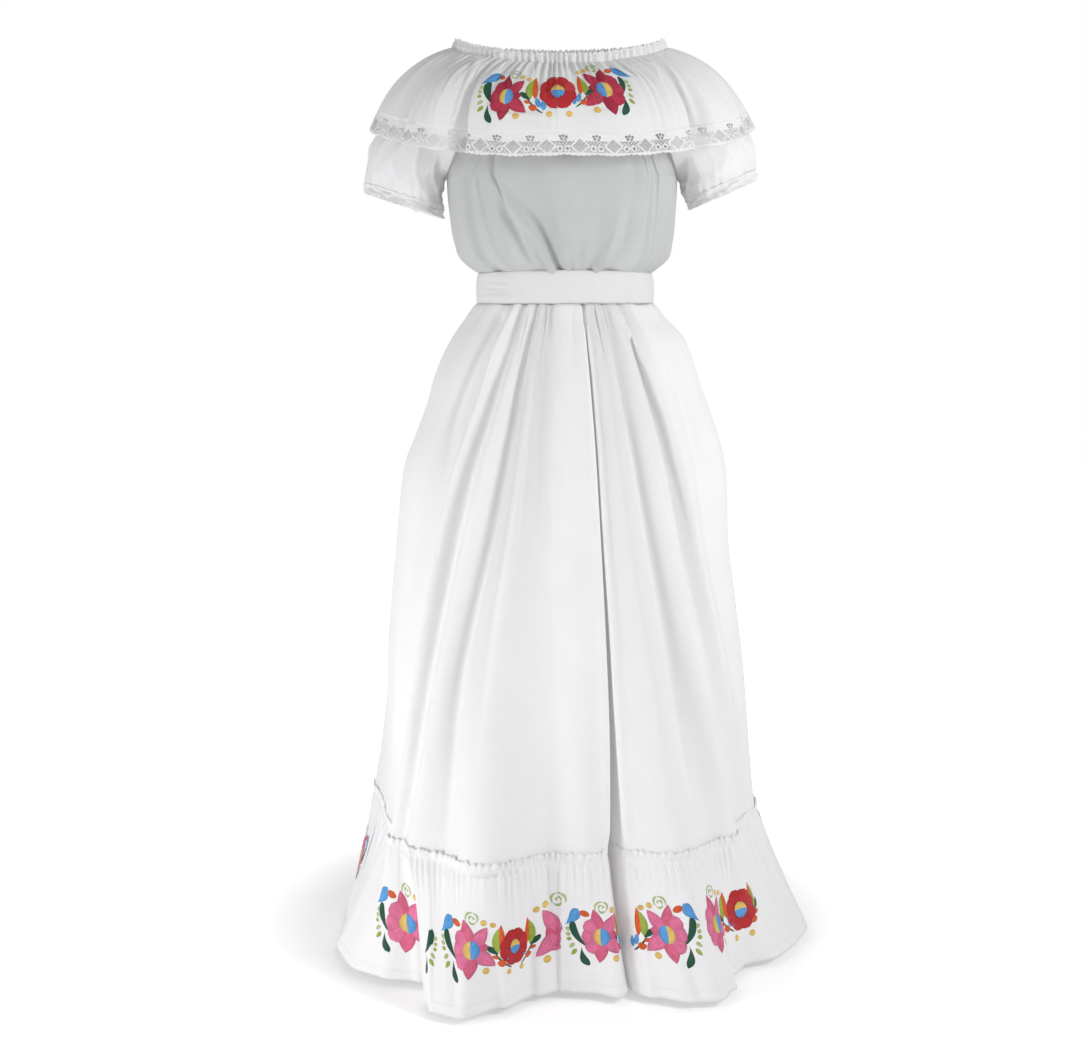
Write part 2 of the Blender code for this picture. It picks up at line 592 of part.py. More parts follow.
def loop_section(row, columns):
    """Closed loop between an upper and a lower point, with its own depth."""
    upper_x, upper_z, lower_x, lower_z, depth, gather = row
    turn = np.arange(columns) * 2 * np.pi / columns
    size = 1 + gather * MM * zigzag(columns) / depth
    middle = np.array([(upper_x + lower_x) / 2, 0.0, (upper_z + lower_z) / 2])
    reach = np.array([(upper_x - lower_x) / 2, 0.0, (upper_z - lower_z) / 2])
    face = np.array([0.0, -depth, 0.0])
    return middle + (reach * np.cos(turn)[:, None] + face * np.sin(turn)[:, None]) * size[:, None]


def armhole_loop(side, columns):
    """Loop on the blouse body that the sleeve is sewn to."""
    turn = np.arange(columns) * 2 * np.pi / columns
    up, face = np.cos(turn), np.sin(turn)
    power = np.where(up > 0, ARMHOLE_TOP_POWER, ARMHOLE_LOW_POWER)
    size = (np.abs(up) ** power + np.abs(face) ** power) ** (-1 / power)
    height = ARMHOLE_MIDDLE + ARMHOLE_HALF * up * size
    y = -ARMHOLE_DEPTH * face * size
    angle = np.degrees(np.arctan2(side * bodice_radius(side * 90.0, height), -y))
    radius = bodice_radius(angle, height)
    x = radius * np.sin(np.radians(angle)) + side * ARMHOLE_LAP
    return np.stack([x, y, height], axis=-1)


def sleeve_points(side, sections):
    """Rows of a puff sleeve from the armhole to the cuff."""
    rows = [armhole_loop(side, CUFF_COLUMNS)]
    rows += [loop_section(row, CUFF_COLUMNS) for row in sections]
    return np.array(rows)


def cuff_points(sections):
    """Rows of a narrow gathered cuff."""
    return np.array([loop_section(row, CUFF_COLUMNS) for row in sections])


def band_points(first, last):
    """Half of the waistband, its upper edge higher at the front."""
    angle = np.linspace(first, last, BAND_COLUMNS + 1)
    top = BAND_TOP + BAND_RISE * np.cos(np.radians(angle))
    rows = []
    for share in BAND_ROWS:
        height = BAND_BOTTOM + (top - BAND_BOTTOM) * share
        bulge = BAND_BULGE * 4 * share * (1 - share)
        radius = oval(angle, BAND_WIDTH, BAND_WIDTH, BAND_DEPTH, BAND_DEPTH, WAIST_POWER)
        rows.append(around(angle, radius + bulge, height))
    return part_ends(np.array(rows), SEAM_GAP)


def make_material(name, colour, roughness):
    """Plain cloth material."""
    material = bpy.data.materials.new(name)
    material.use_nodes = True
    shader = material.node_tree.nodes["Principled BSDF"]
    shader.inputs["Base Color"].default_value = (*colour, 1.0)
    shader.inputs["Roughness"].default_value = roughness
    material.diffuse_color = (*colour, 1.0)
    return material


def make_shell(name, rows, closed, wall, colour, home, holes=()):
    """Cloth piece: a grid of rows given a wall, with named cells left open."""
    count, width = rows.shape[:2]
    spans = width if closed else width - 1
    faces = []
    for i in range(count - 1):
        for j in range(spans):
            if (i, j) in holes:
                continue
            k = (j + 1) % width
            faces.append((i * width + j, (i + 1) * width + j, (i + 1) * width + k, i * width + k))
    mesh = bpy.data.meshes.new(name)
    mesh.from_pydata(rows.reshape(-1, 3).tolist(), [], faces)
    mesh.validate()
    mesh.materials.append(make_material(name + "_cloth", colour, 0.85))
    piece = bpy.data.objects.new(name, mesh)
    home.objects.link(piece)
    wall_step = piece.modifiers.new("wall", "SOLIDIFY")
    wall_step.thickness = wall
    wall_step.offset = 0.0
    return piece


for old in list(bpy.data.objects):
    bpy.data.objects.remove(old, do_unlink=True)

dress = bpy.data.collections.new("pollera_dress")
bpy.context.scene.collection.children.link(dress)

skirt_front, _ = skirt_points(SKIRT_FRONT_FOLDS, SKIRT_FRONT_STEP)
skirt_back, _ = skirt_points(SKIRT_BACK_FOLDS, SKIRT_BACK_STEP)
make_shell("skirt_front", skirt_front, False, WALL, WHITE_COTTON, dress)
make_shell("skirt_back", skirt_back, False, WALL, WHITE_COTTON, dress)

ruffle_front = ruffle_points(skirt_front, RUFFLE_FRONT_HEM, RUFFLE_FRONT_GATHER)
ruffle_back = ruffle_points(skirt_back, RUFFLE_BACK_HEM, RUFFLE_BACK_GATHER)
make_shell("ruffle_front", ruffle_front, False, WALL, WHITE_COTTON, dress)
make_shell("ruffle_back", ruffle_back, False, WALL, WHITE_COTTON, dress)

band_front = band_points(-90.0, 90.0)
band_back = band_points(90.0, 270.0)
make_shell("waistband_front", band_front, False, WALL, WHITE_COTTON, dress)
make_shell("waistband_back", band_back, False, WALL, WHITE_COTTON, dress)

bodice_front = bodice_points(BODICE_FRONT_FOLDS, BODICE_FRONT_STEP, False)
bodice_back = bodice_points(BODICE_BACK_FOLDS, BODICE_BACK_STEP, True)
make_shell("bodice_front", bodice_front, False, WALL, SHEER_COTTON, dress)
make_shell("bodice_back", bodice_back, False, WALL, SHEER_COTTON, dress)

make_shell("neck_casing", casing_points(), True, WALL, WHITE_COTTON, dress)
make_shell("flounce_front", flounce_points(FLOUNCE_FRONT_FOLDS), False, WALL, WHITE_COTTON, dress)
make_shell("flounce_back", flounce_points(FLOUNCE_BACK_FOLDS), False, WALL, WHITE_COTTON, dress)

lace_front, front_holes = lace_points(FLOUNCE_FRONT_FOLDS)
lace_back, back_holes = lace_points(FLOUNCE_BACK_FOLDS)
make_shell("lace_front", lace_front, False, LACE_WALL, LACE_WHITE, dress, front_holes)
make_shell("lace_back", lace_back, False, LACE_WALL, LACE_WHITE, dress, back_holes)

make_shell("sleeve_left", sleeve_points(1, SLEEVE_LEFT), True, WALL, SHEER_COTTON, dress)
make_shell("sleeve_right", sleeve_points(-1, SLEEVE_RIGHT), True, WALL, SHEER_COTTON, dress)
make_shell("cuff_left", cuff_points(CUFF_LEFT), True, WALL, WHITE_COTTON, dress)
make_shell("cuff_right", cuff_points(CUFF_RIGHT), True, WALL, WHITE_COTTON, dress)
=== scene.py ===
# %% [markdown]
# # Pollera dress
#
# The dress is an off-shoulder blouse tucked into a long pleated skirt. Its solids were
# packed before this lesson. Here each of them gets a thinner and finer sheet of cloth,
# with its creases, stitches and embroidery. The packed dress is loaded first, as a
# fixed frame.

# %% Load the frame
import bpy
import numpy as np
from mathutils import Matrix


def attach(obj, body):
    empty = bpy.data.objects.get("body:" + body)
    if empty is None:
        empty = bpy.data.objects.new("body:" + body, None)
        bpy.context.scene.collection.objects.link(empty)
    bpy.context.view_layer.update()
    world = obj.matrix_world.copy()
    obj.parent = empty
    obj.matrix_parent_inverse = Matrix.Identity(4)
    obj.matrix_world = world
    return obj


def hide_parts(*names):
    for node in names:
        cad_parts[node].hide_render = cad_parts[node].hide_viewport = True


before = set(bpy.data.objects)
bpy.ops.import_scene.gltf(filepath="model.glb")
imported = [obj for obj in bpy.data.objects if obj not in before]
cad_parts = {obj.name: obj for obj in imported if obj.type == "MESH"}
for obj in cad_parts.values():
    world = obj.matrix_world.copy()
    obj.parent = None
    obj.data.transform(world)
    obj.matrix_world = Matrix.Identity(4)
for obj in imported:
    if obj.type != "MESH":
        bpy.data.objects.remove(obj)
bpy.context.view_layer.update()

MM = 0.001

# %% [markdown]
# ## Curves and ovals
#
# Seen from above, each level of a worn garment is a rounded oval, wider than it is
# deep. It could be drawn with curve objects. A formula is used because it gives a whole
# ring at once, and a cubic curve through a short table carries the ring's sizes from
# level to level.

# %% Curves and ovals
def smooth(at, places, values):
    """Cubic curve through the values at the given places, along the last axis."""
    at = np.clip(np.asarray(at, float), places[0], places[-1])
    places, values = np.asarray(places, float), np.asarray(values, float)
    if len(places) == 2:
        slopes = np.repeat(np.diff(values, axis=-1) / np.diff(places), 2, axis=-1)
    else:
        slopes = np.gradient(values, places, axis=-1)
    index = np.clip(np.searchsorted(places, at, side="right") - 1, 0, len(places) - 2)
    width = places[index + 1] - places[index]
    t = (at - places[index]) / width
    start, end = values[..., index], values[..., index + 1]
    lean_in, lean_out = slopes[..., index] * width, slopes[..., index + 1] * width
    cubic = start * (2 * t**3 - 3 * t**2 + 1) + end * (3 * t**2 - 2 * t**3)
    return cubic + lean_in * (t**3 - 2 * t**2 + t) + lean_out * (t**3 - t**2)


def oval(angle, left, right, front, back, power):
    """Radius of a rounded oval: the sum of |sin/width|^p and |cos/depth|^p, to the power -1/p."""
    side, face = np.sin(np.radians(angle)), np.cos(np.radians(angle))
    across = np.where(side < 0, left, right)
    along = np.where(face > 0, front, back)
    return (np.abs(side / across) ** power + np.abs(face / along) ** power) ** (-1 / power)


def around(angle, radius, height, centre_x=0.0):
    """Points at a radius and height, for angles from the centre front."""
    turn = np.radians(angle)
    x, y = centre_x + radius * np.sin(turn), -radius * np.cos(turn)
    return np.stack(np.broadcast_arrays(x, y, height), axis=-1)


def table_oval(angle, height, rows, power):
    """Oval radius at each height, from a table of ovals."""
    table = np.array(rows)
    sizes = [smooth(height, table[:, 0], table[:, k]) for k in range(1, 5)]
    return oval(angle, *sizes, power)


diagonal = oval(45.0, 0.120, 0.120, 0.095, 0.095, 2.3)
print("an oval of half width 120 mm and half depth 95 mm is", diagonal, "m out at 45 degrees")

# %% [markdown]
# ## Fold lines
#
# Pleats and folds run down the cloth as lines, each with an angle and a depth at a few
# levels. Cloth can also be dropped in a simulation, but then no fold is where it is
# wanted. Here neighbouring lines are joined by an ease, level at a soft line and with a
# kink at a sharp one. A smooth random line keeps small gathers from being too regular.

# %% Fold lines
def along_lines(values, places, sharp):
    """Value between fold lines: level at soft lines, pointed at sharp ones."""
    index = np.clip(np.floor(places).astype(int), 0, values.shape[-1] - 2)
    t = places - index
    start, end = values[..., index], values[..., index + 1]
    rise = end - start
    cubic = start + rise * (3 * t**2 - 2 * t**3)
    return cubic + rise * sharp[index] * (t**3 - 2 * t**2 + t) + rise * sharp[index + 1] * (t**3 - t**2)


def fold_field(lines, stations, down, places):
    """Angle and depth of the cloth at each row and column of a fold table."""
    table, count = np.array(lines), len(stations)
    angles = smooth(down, stations, table[:, :count]).T
    depths = smooth(down, stations, table[:, count:2 * count]).T
    angle = along_lines(angles, places, np.ones(len(table)))
    return angle, along_lines(depths, places, table[:, 2 * count]) * MM


def even_places(surface, lines, count):
    """Places along the fold lines that are an even distance apart on the cloth."""
    fine = np.linspace(0, len(lines) - 1, 1601)
    edge = surface(fine)
    run = np.append(0, np.cumsum(np.linalg.norm(np.diff(edge, axis=0), axis=1)))
    return np.interp(np.linspace(0, run[-1], count), run, fine)


NOISE_COUNT = 4096


def noise_line(u, step, seed):
    """Smooth random line between -1 and 1 with a new value every step."""
    values = np.random.default_rng(seed).uniform(-1, 1, NOISE_COUNT)
    place = u / step + 700
    index = np.floor(place).astype(int)
    t = place - index
    ease = t * t * (3 - 2 * t)
    return values[index % NOISE_COUNT] * (1 - ease) + values[(index + 1) % NOISE_COUNT] * ease


quarter = along_lines(np.array([0.0, 1.0]), np.array([0.25]), np.zeros(2))
print("a soft ease from 0 to 1 has reached", quarter, "a quarter of the way")

# %% [markdown]
# ## Cloth sheets
#
# Every cut piece of the real dress is one flat sheet. A sheet here is a grid of points
# that also knows its own lengths across (u) and down (v), in metres. A plain mesh would
# do for the shape, but the lengths let weave, stitches and embroidery follow the cloth.

# %% Cloth sheets
class Cloth:
    """Grid of points with its lengths across and down."""

    def __init__(self, points, row=0.6):
        """Measures the lengths across on one row and the lengths down on average."""
        self.points = np.asarray(points, float)
        rows, columns = self.points.shape[:2]
        across = np.linalg.norm(np.diff(self.points[int(row * (rows - 1))], axis=0), axis=1)
        down = np.linalg.norm(np.diff(self.points, axis=0), axis=2).mean(axis=1)
        self.u = np.append(0, np.cumsum(across))
        self.v = np.append(0, np.cumsum(down))

    def normals(self):
        """Direction across crossed with direction down, pointing outwards."""
        across = np.gradient(self.points, axis=1)
        down = np.gradient(self.points, axis=0)
        normal = np.cross(down, across)
        return normal / np.maximum(np.linalg.norm(normal, axis=2, keepdims=True), 1e-12)

    def raised(self, height):
        """The same cloth moved along its normals."""
        moved = Cloth(self.points + self.normals() * np.asarray(height)[..., None])
        moved.u, moved.v = self.u, self.v
        return moved

    def at(self, u, v, lift=0.0):
        """Points at lengths u and v, read between the grid's points and lifted off the cloth."""
        column = np.interp(u, self.u, np.arange(len(self.u)))
        row = np.interp(v, self.v, np.arange(len(self.v)))
        j = np.clip(np.floor(column).astype(int), 0, len(self.u) - 2)
        i = np.clip(np.floor(row).astype(int), 0, len(self.v) - 2)
        s, t = (column - j)[..., None], (row - i)[..., None]

        def between(grid):
            upper = grid[i, j] * (1 - s) + grid[i, j + 1] * s
            lower = grid[i + 1, j] * (1 - s) + grid[i + 1, j + 1] * s
            return upper * (1 - t) + lower * t

        return between(self.points) + between(self.normals()) * np.asarray(lift)[..., None]


def say_size(name, cloth):
    """Prints how long a sheet is along its upper and lower edges, across one row and down.
    The last cell of a closed sheet is not counted."""
    edges = np.linalg.norm(np.diff(cloth.points[[0, -1]], axis=1), axis=2).sum(axis=1)
    upper, lower, across, down = [round(length / MM) for length in (*edges, cloth.u[-1], cloth.v[-1])]
    print(name, "in mm: upper edge", upper, "lower edge", lower, "across", across, "down", down)


sample = Cloth([[(x, 0, z) for x in (0, 0.05, 0.1)] for z in (0.1, 0.05, 0)])
say_size("a square sample", sample)

# %% [markdown]
# ## Creases by hand
#
# Creases are what makes cloth look worn. They could be sculpted or painted as a bump,
# but a bump leaves the outline flat. They are raised on the grid instead, along bent
# lines that are listed one by one, so each has its own length, depth and width.

# %% Creases one by one
def creases(cloth, rows):
    """Height over the sheet of creases given as start u, start v, end u, end v, bend, millimetres, width."""
    u, v = np.meshgrid(cloth.u, cloth.v)
    height = np.zeros_like(u)
    for u0, v0, u1, v1, bend, rise, width in rows:
        length = np.hypot(u1 - u0, v1 - v0)
        along = ((u - u0) * (u1 - u0) + (v - v0) * (v1 - v0)) / length**2
        off = ((u - u0) * (v1 - v0) - (v - v0) * (u1 - u0)) / length
        off = off - bend * 4 * along * (1 - along)
        inside = np.clip(along, 0, 1)
        fade = np.sin(np.pi * inside) ** 0.6 * (along > 0) * (along < 1)
        height += rise * MM * fade * np.exp(-(off / width) ** 2)
    return height


def fold_lines(cloth, rows):
    """Height over the sheet of long lines. Each row holds (u, v) points, a width and the
    millimetres at each point. A crease is a bell, a lap is a sharp step that fades to its high side."""
    u, v = np.meshgrid(cloth.u, cloth.v)
    height = np.zeros_like(u)
    for kind, points, width, rises in rows:
        at = np.array(points)
        line = smooth(v, at[:, 1], at[:, 0])
        rise = np.interp(v, at[:, 1], rises, left=0, right=0) * MM
        end = np.clip((v - at[0, 1]) / 0.012, 0, 1) * np.clip((at[-1, 1] - v) / 0.03, 0, 1)
        off = u - line
        if kind == "crease":
            height += rise * end * np.exp(-(off / width) ** 2)
        else:
            way = off * (1 if kind == "lap_right" else -1)
            height += rise * end * (0.5 + 0.5 * np.tanh(way / 0.0011)) * np.exp(-np.maximum(way, 0) / width)
    return height


ridge = fold_lines(sample, [("crease", [(0.05, 0.0), (0.05, 0.1)], 0.02, [1.0, 1.0])])
print("a crease of one millimetre raises the sample by", ridge.max(), "m")

# %% [markdown]
# ## Cloth as a mesh
#
# Cotton is well under a millimetre thick. The grid becomes four-cornered faces with a
# map of the cloth's lengths, and Solidify gives it a thin wall. Two layers could be
# modelled by hand, but the modifier keeps the wall even over every fold.

# %% Cloth as a mesh
def add_mesh(name, points, faces, uv, materials, slots=None):
    """Mesh object from arrays of points, four-cornered faces and corner lengths."""
    mesh = bpy.data.meshes.new(name)
    mesh.vertices.add(len(points))
    mesh.vertices.foreach_set("co", np.asarray(points, np.float32).ravel())
    mesh.loops.add(faces.size)
    mesh.loops.foreach_set("vertex_index", faces.astype(np.int32).ravel())
    mesh.polygons.add(len(faces))
    mesh.polygons.foreach_set("loop_start", np.arange(len(faces), dtype=np.int32) * 4)
    mesh.polygons.foreach_set("use_smooth", np.full(len(faces), True))
    for material in materials:
        mesh.materials.append(material)
    if slots is not None:
        mesh.polygons.foreach_set("material_index", np.asarray(slots, np.int32))
    layer = mesh.uv_layers.new(name="cloth")
    layer.data.foreach_set("uv", np.asarray(uv, np.float32).ravel())
    mesh.update()
    mesh.validate()
    piece = bpy.data.objects.new(name, mesh)
    bpy.context.scene.collection.objects.link(piece)
    return piece


def sheet_mesh(name, cloth, material, wall, closed=False, keep=None):
    """Cloth as a mesh with a wall; keep says which cells of the grid are there."""
    rows, columns = cloth.points.shape[:2]
    spans = columns if closed else columns - 1
    i, j = np.meshgrid(np.arange(rows - 1), np.arange(spans), indexing="ij")
    k = (j + 1) % columns
    corners = [i * columns + j, (i + 1) * columns + j, (i + 1) * columns + k, i * columns + k]
    faces = np.stack(corners, axis=-1)
    u = np.append(cloth.u, cloth.u[-1] + cloth.u[1]) if closed else cloth.u
    corner_u = np.stack([u[j], u[j], u[j + 1], u[j + 1]], axis=-1)
    corner_v = np.stack([cloth.v[i], cloth.v[i + 1], cloth.v[i + 1], cloth.v[i]], axis=-1)
    uv = np.stack([corner_u, corner_v], axis=-1)
    if keep is not None:
        faces, uv = faces[keep], uv[keep]
    piece = add_mesh(name, cloth.points.reshape(-1, 3), faces.reshape(-1, 4), uv.reshape(-1, 2), [material])
    step = piece.modifiers.new("wall", "SOLIDIFY")
    step.thickness, step.offset = wall, 0.0
    return piece


print("a sheet's map is called cloth and its wall comes from Solidify")

# %% [markdown]
# ## Numbers in a material
#
# A pattern in a material is arithmetic on the cloth's lengths. The nodes for it could
# be placed one at a time. A small class that turns + - * into math nodes lets a
# pattern be read as a formula instead.

# %% Numbers in a material
class Number:
    """A number in a material; sums with it add math nodes."""

    def __init__(self, tree, socket):
        self.tree, self.socket = tree, socket

    def step(self, operation, *others):
        """Math node of that operation on this number and the others."""
        node = self.tree.nodes.new("ShaderNodeMath")
        node.operation = operation
        self.tree.links.new(self.socket, node.inputs[0])
        for slot, other in enumerate(others, 1):
            if isinstance(other, Number):
                self.tree.links.new(other.socket, node.inputs[slot])
            else:
                node.inputs[slot].default_value = other
        return Number(self.tree, node.outputs[0])

    def __add__(self, other):
        return self.step("ADD", other)

    def __sub__(self, other):
        return self.step("SUBTRACT", other)

    def __rsub__(self, other):
        return self.step("MULTIPLY", -1.0).step("ADD", other)

    def __mul__(self, other):
        return self.step("MULTIPLY", other)

    __radd__, __rmul__ = __add__, __mul__

    def wave(self, length):
        """Sine of this length, between -1 and 1."""
        return (self * (2 * np.pi / length)).step("SINE")

    def clamp(self):
        """This number kept between 0 and 1."""
        return self.step("MAXIMUM", 0.0).step("MINIMUM", 1.0)


print("a number's own steps:", [name for name in vars(Number) if not name.startswith("_")])

# %% [markdown]
# ## Paint
#
# Each material of the dress is one Principled shader with a few nodes in front of it.
# Every node could be made and linked on its own lines. This class makes any node from
# its kind, its settings and its inputs, so that a finish is a few lines long.

# %% Paint
class Paint:
    """A new material with its node tree and its shader."""

    def __init__(self, name, colour, roughness):
        self.material = bpy.data.materials.new(name)
        self.material.use_nodes = True
        self.material.diffuse_color = (*colour, 1.0)
        self.tree = self.material.node_tree
        self.shader = self.tree.nodes["Principled BSDF"]
        self.shader.inputs["Base Color"].default_value = (*colour, 1.0)
        self.shader.inputs["Roughness"].default_value = roughness

    def node(self, kind, values=(), **settings):
        """Node of a kind with its settings and its named or numbered input values."""
        node = self.tree.nodes.new("ShaderNode" + kind)
        for key, value in settings.items():
            setattr(node, key, value)
        for key, value in dict(values).items():
            if isinstance(value, Number):
                self.tree.links.new(value.socket, node.inputs[key])
            elif isinstance(value, bpy.types.NodeSocket):
                self.tree.links.new(value, node.inputs[key])
            else:
                node.inputs[key].default_value = value
        return node

    def lengths(self):
        """The cloth's u and v as numbers."""
        split = self.node("SeparateXYZ", {0: self.node("UVMap", uv_map="cloth").outputs[0]})
        return Number(self.tree, split.outputs[0]), Number(self.tree, split.outputs[1])

    def noise(self, u, v):
        """Noise read at stretched lengths, between 0 and 1."""
        place = self.node("CombineXYZ", {0: u, 1: v}).outputs[0]
        found = self.node("TexNoise", {"Vector": place, "Scale": 1.0, "Detail": 2.0})
        return Number(self.tree, found.outputs[0])

    def bump(self, height, distance, strength=1.0):
        """Bump of a height on the shader's normal."""
        values = {"Height": height, "Distance": distance, "Strength": strength}
        self.tree.links.new(self.node("Bump", values).outputs[0], self.shader.inputs["Normal"])

    def colour(self, share, low, high):
        """Base colour between two colours by a share from 0 to 1."""
        mix = self.node("Mix", {0: share, 6: (*low, 1.0), 7: (*high, 1.0)}, data_type="RGBA")
        self.tree.links.new(mix.outputs[2], self.shader.inputs["Base Color"])


print("ways to feed a paint:", [name for name in vars(Paint) if not name.startswith("_")])

# %% [markdown]
# ## Cotton
#
# The skirt is a plain white cotton, and the blouse a sheerer one that sends less light
# back and so looks greyer; its grey is also painted shade for the dark hollow inside that
# shows through it. The band, flounce and sleeve cottons are set a little greyer than the
# skirt's white, which is painted shade. Threads cross every millimetre, slubs run along
# the weft, and the stitching pulls fine puckers into the cloth below it. An image of real
# cloth could be used, but a formula stays sharp close up. The faint emission is painted
# light, a glow of the cloth's own that stands for daylight coming through thin cotton.

# %% Cotton
THREAD_PITCH = 0.0011
PAINTED_GLOW_COLOUR = (1.0, 0.95, 0.96, 1.0)


def cotton(name, light, dark, slub, painted_glow, pucker=0.0, reach=0.05, hem=None):
    """Plain woven cotton: crossing threads, faint slubs along the weft, fine puckers that die
    out within reach of the upper edge, and a stitch line at the hem."""
    paint = Paint(name, light, 0.88)
    u, v = paint.lengths()
    weave = u.wave(THREAD_PITCH) * v.wave(THREAD_PITCH)
    streak = paint.noise(u * 45.0, v * 900.0)
    cloud = paint.noise(u * 14.0, v * 14.0)
    height = weave * 0.35 + streak * slub
    if pucker:
        gathers = paint.noise(u * 230.0, v * 12.0) + paint.noise(u * 110.0, v * 9.0)
        height = height + gathers * (1.0 - v * (1 / reach)).clamp() * pucker
    if hem:
        stitch = (1.0 - (v - hem).step("ABSOLUTE") * 1100.0).clamp()
        height = height - stitch * 1.3
    paint.bump(height, 0.00035)
    paint.colour(((streak - 0.5) * 1.2 + cloud).clamp(), dark, light)
    paint.shader.inputs["Sheen Weight"].default_value = 0.15
    paint.shader.inputs["Specular IOR Level"].default_value = 0.2
    # Painted light: a faint glow of the cloth's own, standing for daylight that comes through thin cotton.
    paint.shader.inputs["Emission Color"].default_value = PAINTED_GLOW_COLOUR
    paint.shader.inputs["Emission Strength"].default_value = painted_glow
    return paint.material


WHITE = cotton("white_cotton", (0.84, 0.84, 0.845), (0.80, 0.80, 0.805), slub=0.8, painted_glow=0.08)
# Painted shade: the sheer cotton's grey stands for the dark hollow inside showing through it, and the band,
# flounce and sleeve cottons are set a little greyer than the skirt's white.
SHEER = cotton("sheer_cotton", (0.55, 0.565, 0.555), (0.50, 0.515, 0.505), slub=0.5, painted_glow=0.04)
BAND = cotton("band_cotton", (0.74, 0.745, 0.73), (0.69, 0.695, 0.68), slub=0.7, painted_glow=0.06)
FLOUNCE = cotton(
    "flounce_cotton", (0.77, 0.775, 0.765), (0.72, 0.725, 0.715),
    slub=0.6, painted_glow=0.06, pucker=7.0, reach=0.085,
)
SLEEVE = cotton("sleeve_cotton", (0.74, 0.735, 0.745), (0.69, 0.685, 0.695), slub=0.6, painted_glow=0.11)
LACE = cotton("lace_thread", (0.79, 0.795, 0.785), (0.69, 0.695, 0.685), slub=1.0, painted_glow=0.08)
print("cottons:", [paint.name for paint in (WHITE, SHEER, BAND, FLOUNCE, SLEEVE, LACE)])

# %% [markdown]
# ## Skirt sizes
#
# The skirt hangs from the waist seam to the ruffle seam. Its ring is given at fifteen
# levels, and its pleats as fold lines that fan out as they fall. The real pleats are
# laid in at the waistband, so the fold depth is small there and grows downwards. A
# drawn profile turned round an axis would be quicker, but it would make an even cone.

# %% Skirt sizes
SKIRT_TOP, SKIRT_END = -0.0217, -0.7520
WAIST_POWER, SEAM_POWER = 2.3, 2.8
# Level, half width to the left and right, half depth to the front and back.
SKIRT_OVALS = [
    (-0.7520, 0.280, 0.277, 0.262, 0.268),
    (-0.6650, 0.266, 0.266, 0.248, 0.256),
    (-0.5910, 0.258, 0.258, 0.236, 0.246),
    (-0.5170, 0.251, 0.250, 0.223, 0.234),
    (-0.4300, 0.241, 0.237, 0.208, 0.220),
    (-0.3430, 0.232, 0.226, 0.192, 0.204),
    (-0.2860, 0.227, 0.225, 0.181, 0.193),
    (-0.2430, 0.220, 0.222, 0.172, 0.183),
    (-0.2000, 0.204, 0.211, 0.161, 0.171),
    (-0.1580, 0.189, 0.196, 0.148, 0.158),
    (-0.1230, 0.180, 0.184, 0.137, 0.145),
    (-0.0900, 0.167, 0.173, 0.125, 0.130),
    (-0.0670, 0.154, 0.162, 0.116, 0.118),
    (-0.0450, 0.138, 0.140, 0.106, 0.107),
    (-0.0205, 0.1215, 0.1215, 0.0965, 0.0965),
]
SKIRT_STATIONS = [0.0, 0.33, 0.66, 1.0]
# Angle at each station, millimetres out at each station, sharpness.
SKIRT_FRONT_FOLDS = [
    (-90.0, -90.0, -90.0, -90.0, 0, 0, -4, -16, 0.3),
    (-76.0, -78.0, -80.0, -80.0, 2, 5, 1, -24, 0.0),
    (-58.0, -62.0, -65.0, -66.0, 3, 4, 0, -26, 0.0),
    (-42.0, -50.5, -54.0, -57.0, -3, -11, -12, -24, 0.6),
    (-38.0, -46.0, -50.0, -52.0, 4, 7, 5, 4, 0.3),
    (-31.5, -40.3, -45.7, -47.6, -3, -9, -9, -4, 0.7),
    (-27.0, -34.0, -40.5, -41.5, 4, 8, 10, 12, 0.0),
    (-22.0, -26.5, -34.0, -34.5, -3, -6, -1, 13, 0.2),
    (-18.5, -20.7, -24.4, -20.0, 4, 10, 20, 49, 0.0),
    (-13.5, -11.5, -6.0, -5.0, -3, -9, -8, -6, 0.0),
    (-3.0, 2.0, 4.0, 5.0, 4, 6, 8, 0, 0.0),
    (11.8, 11.8, 12.6, 12.2, 3, 5, 2, -18, 1.0),
    (13.4, 13.3, 14.3, 15.2, -6, -24, -40, -60, 1.0),
    (15.0, 14.8, 16.0, 18.6, 3, 5, 5, -18, 1.0),
    (22.0, 22.0, 26.0, 30.0, 4, 8, 13, 7, 0.0),
    (29.5, 31.0, 36.0, 45.5, -3, -7, -9, -17, 0.0),
    (35.5, 37.0, 43.6, 53.0, 4, 8, 9, -6, 0.2),
    (41.0, 44.0, 50.0, 60.0, -4, -12, -9, -30, 0.6),
    (47.0, 49.0, 55.0, 67.0, 4, 5, 3, -25, 0.0),
    (60.0, 57.0, 62.0, 73.0, -2, -5, -6, -18, 0.0),
    (74.0, 72.0, 76.0, 81.0, 3, 5, 3, -4, 0.0),
    (90.0, 90.0, 90.0, 90.0, 0, 0, 0, 0, 0.3),
]
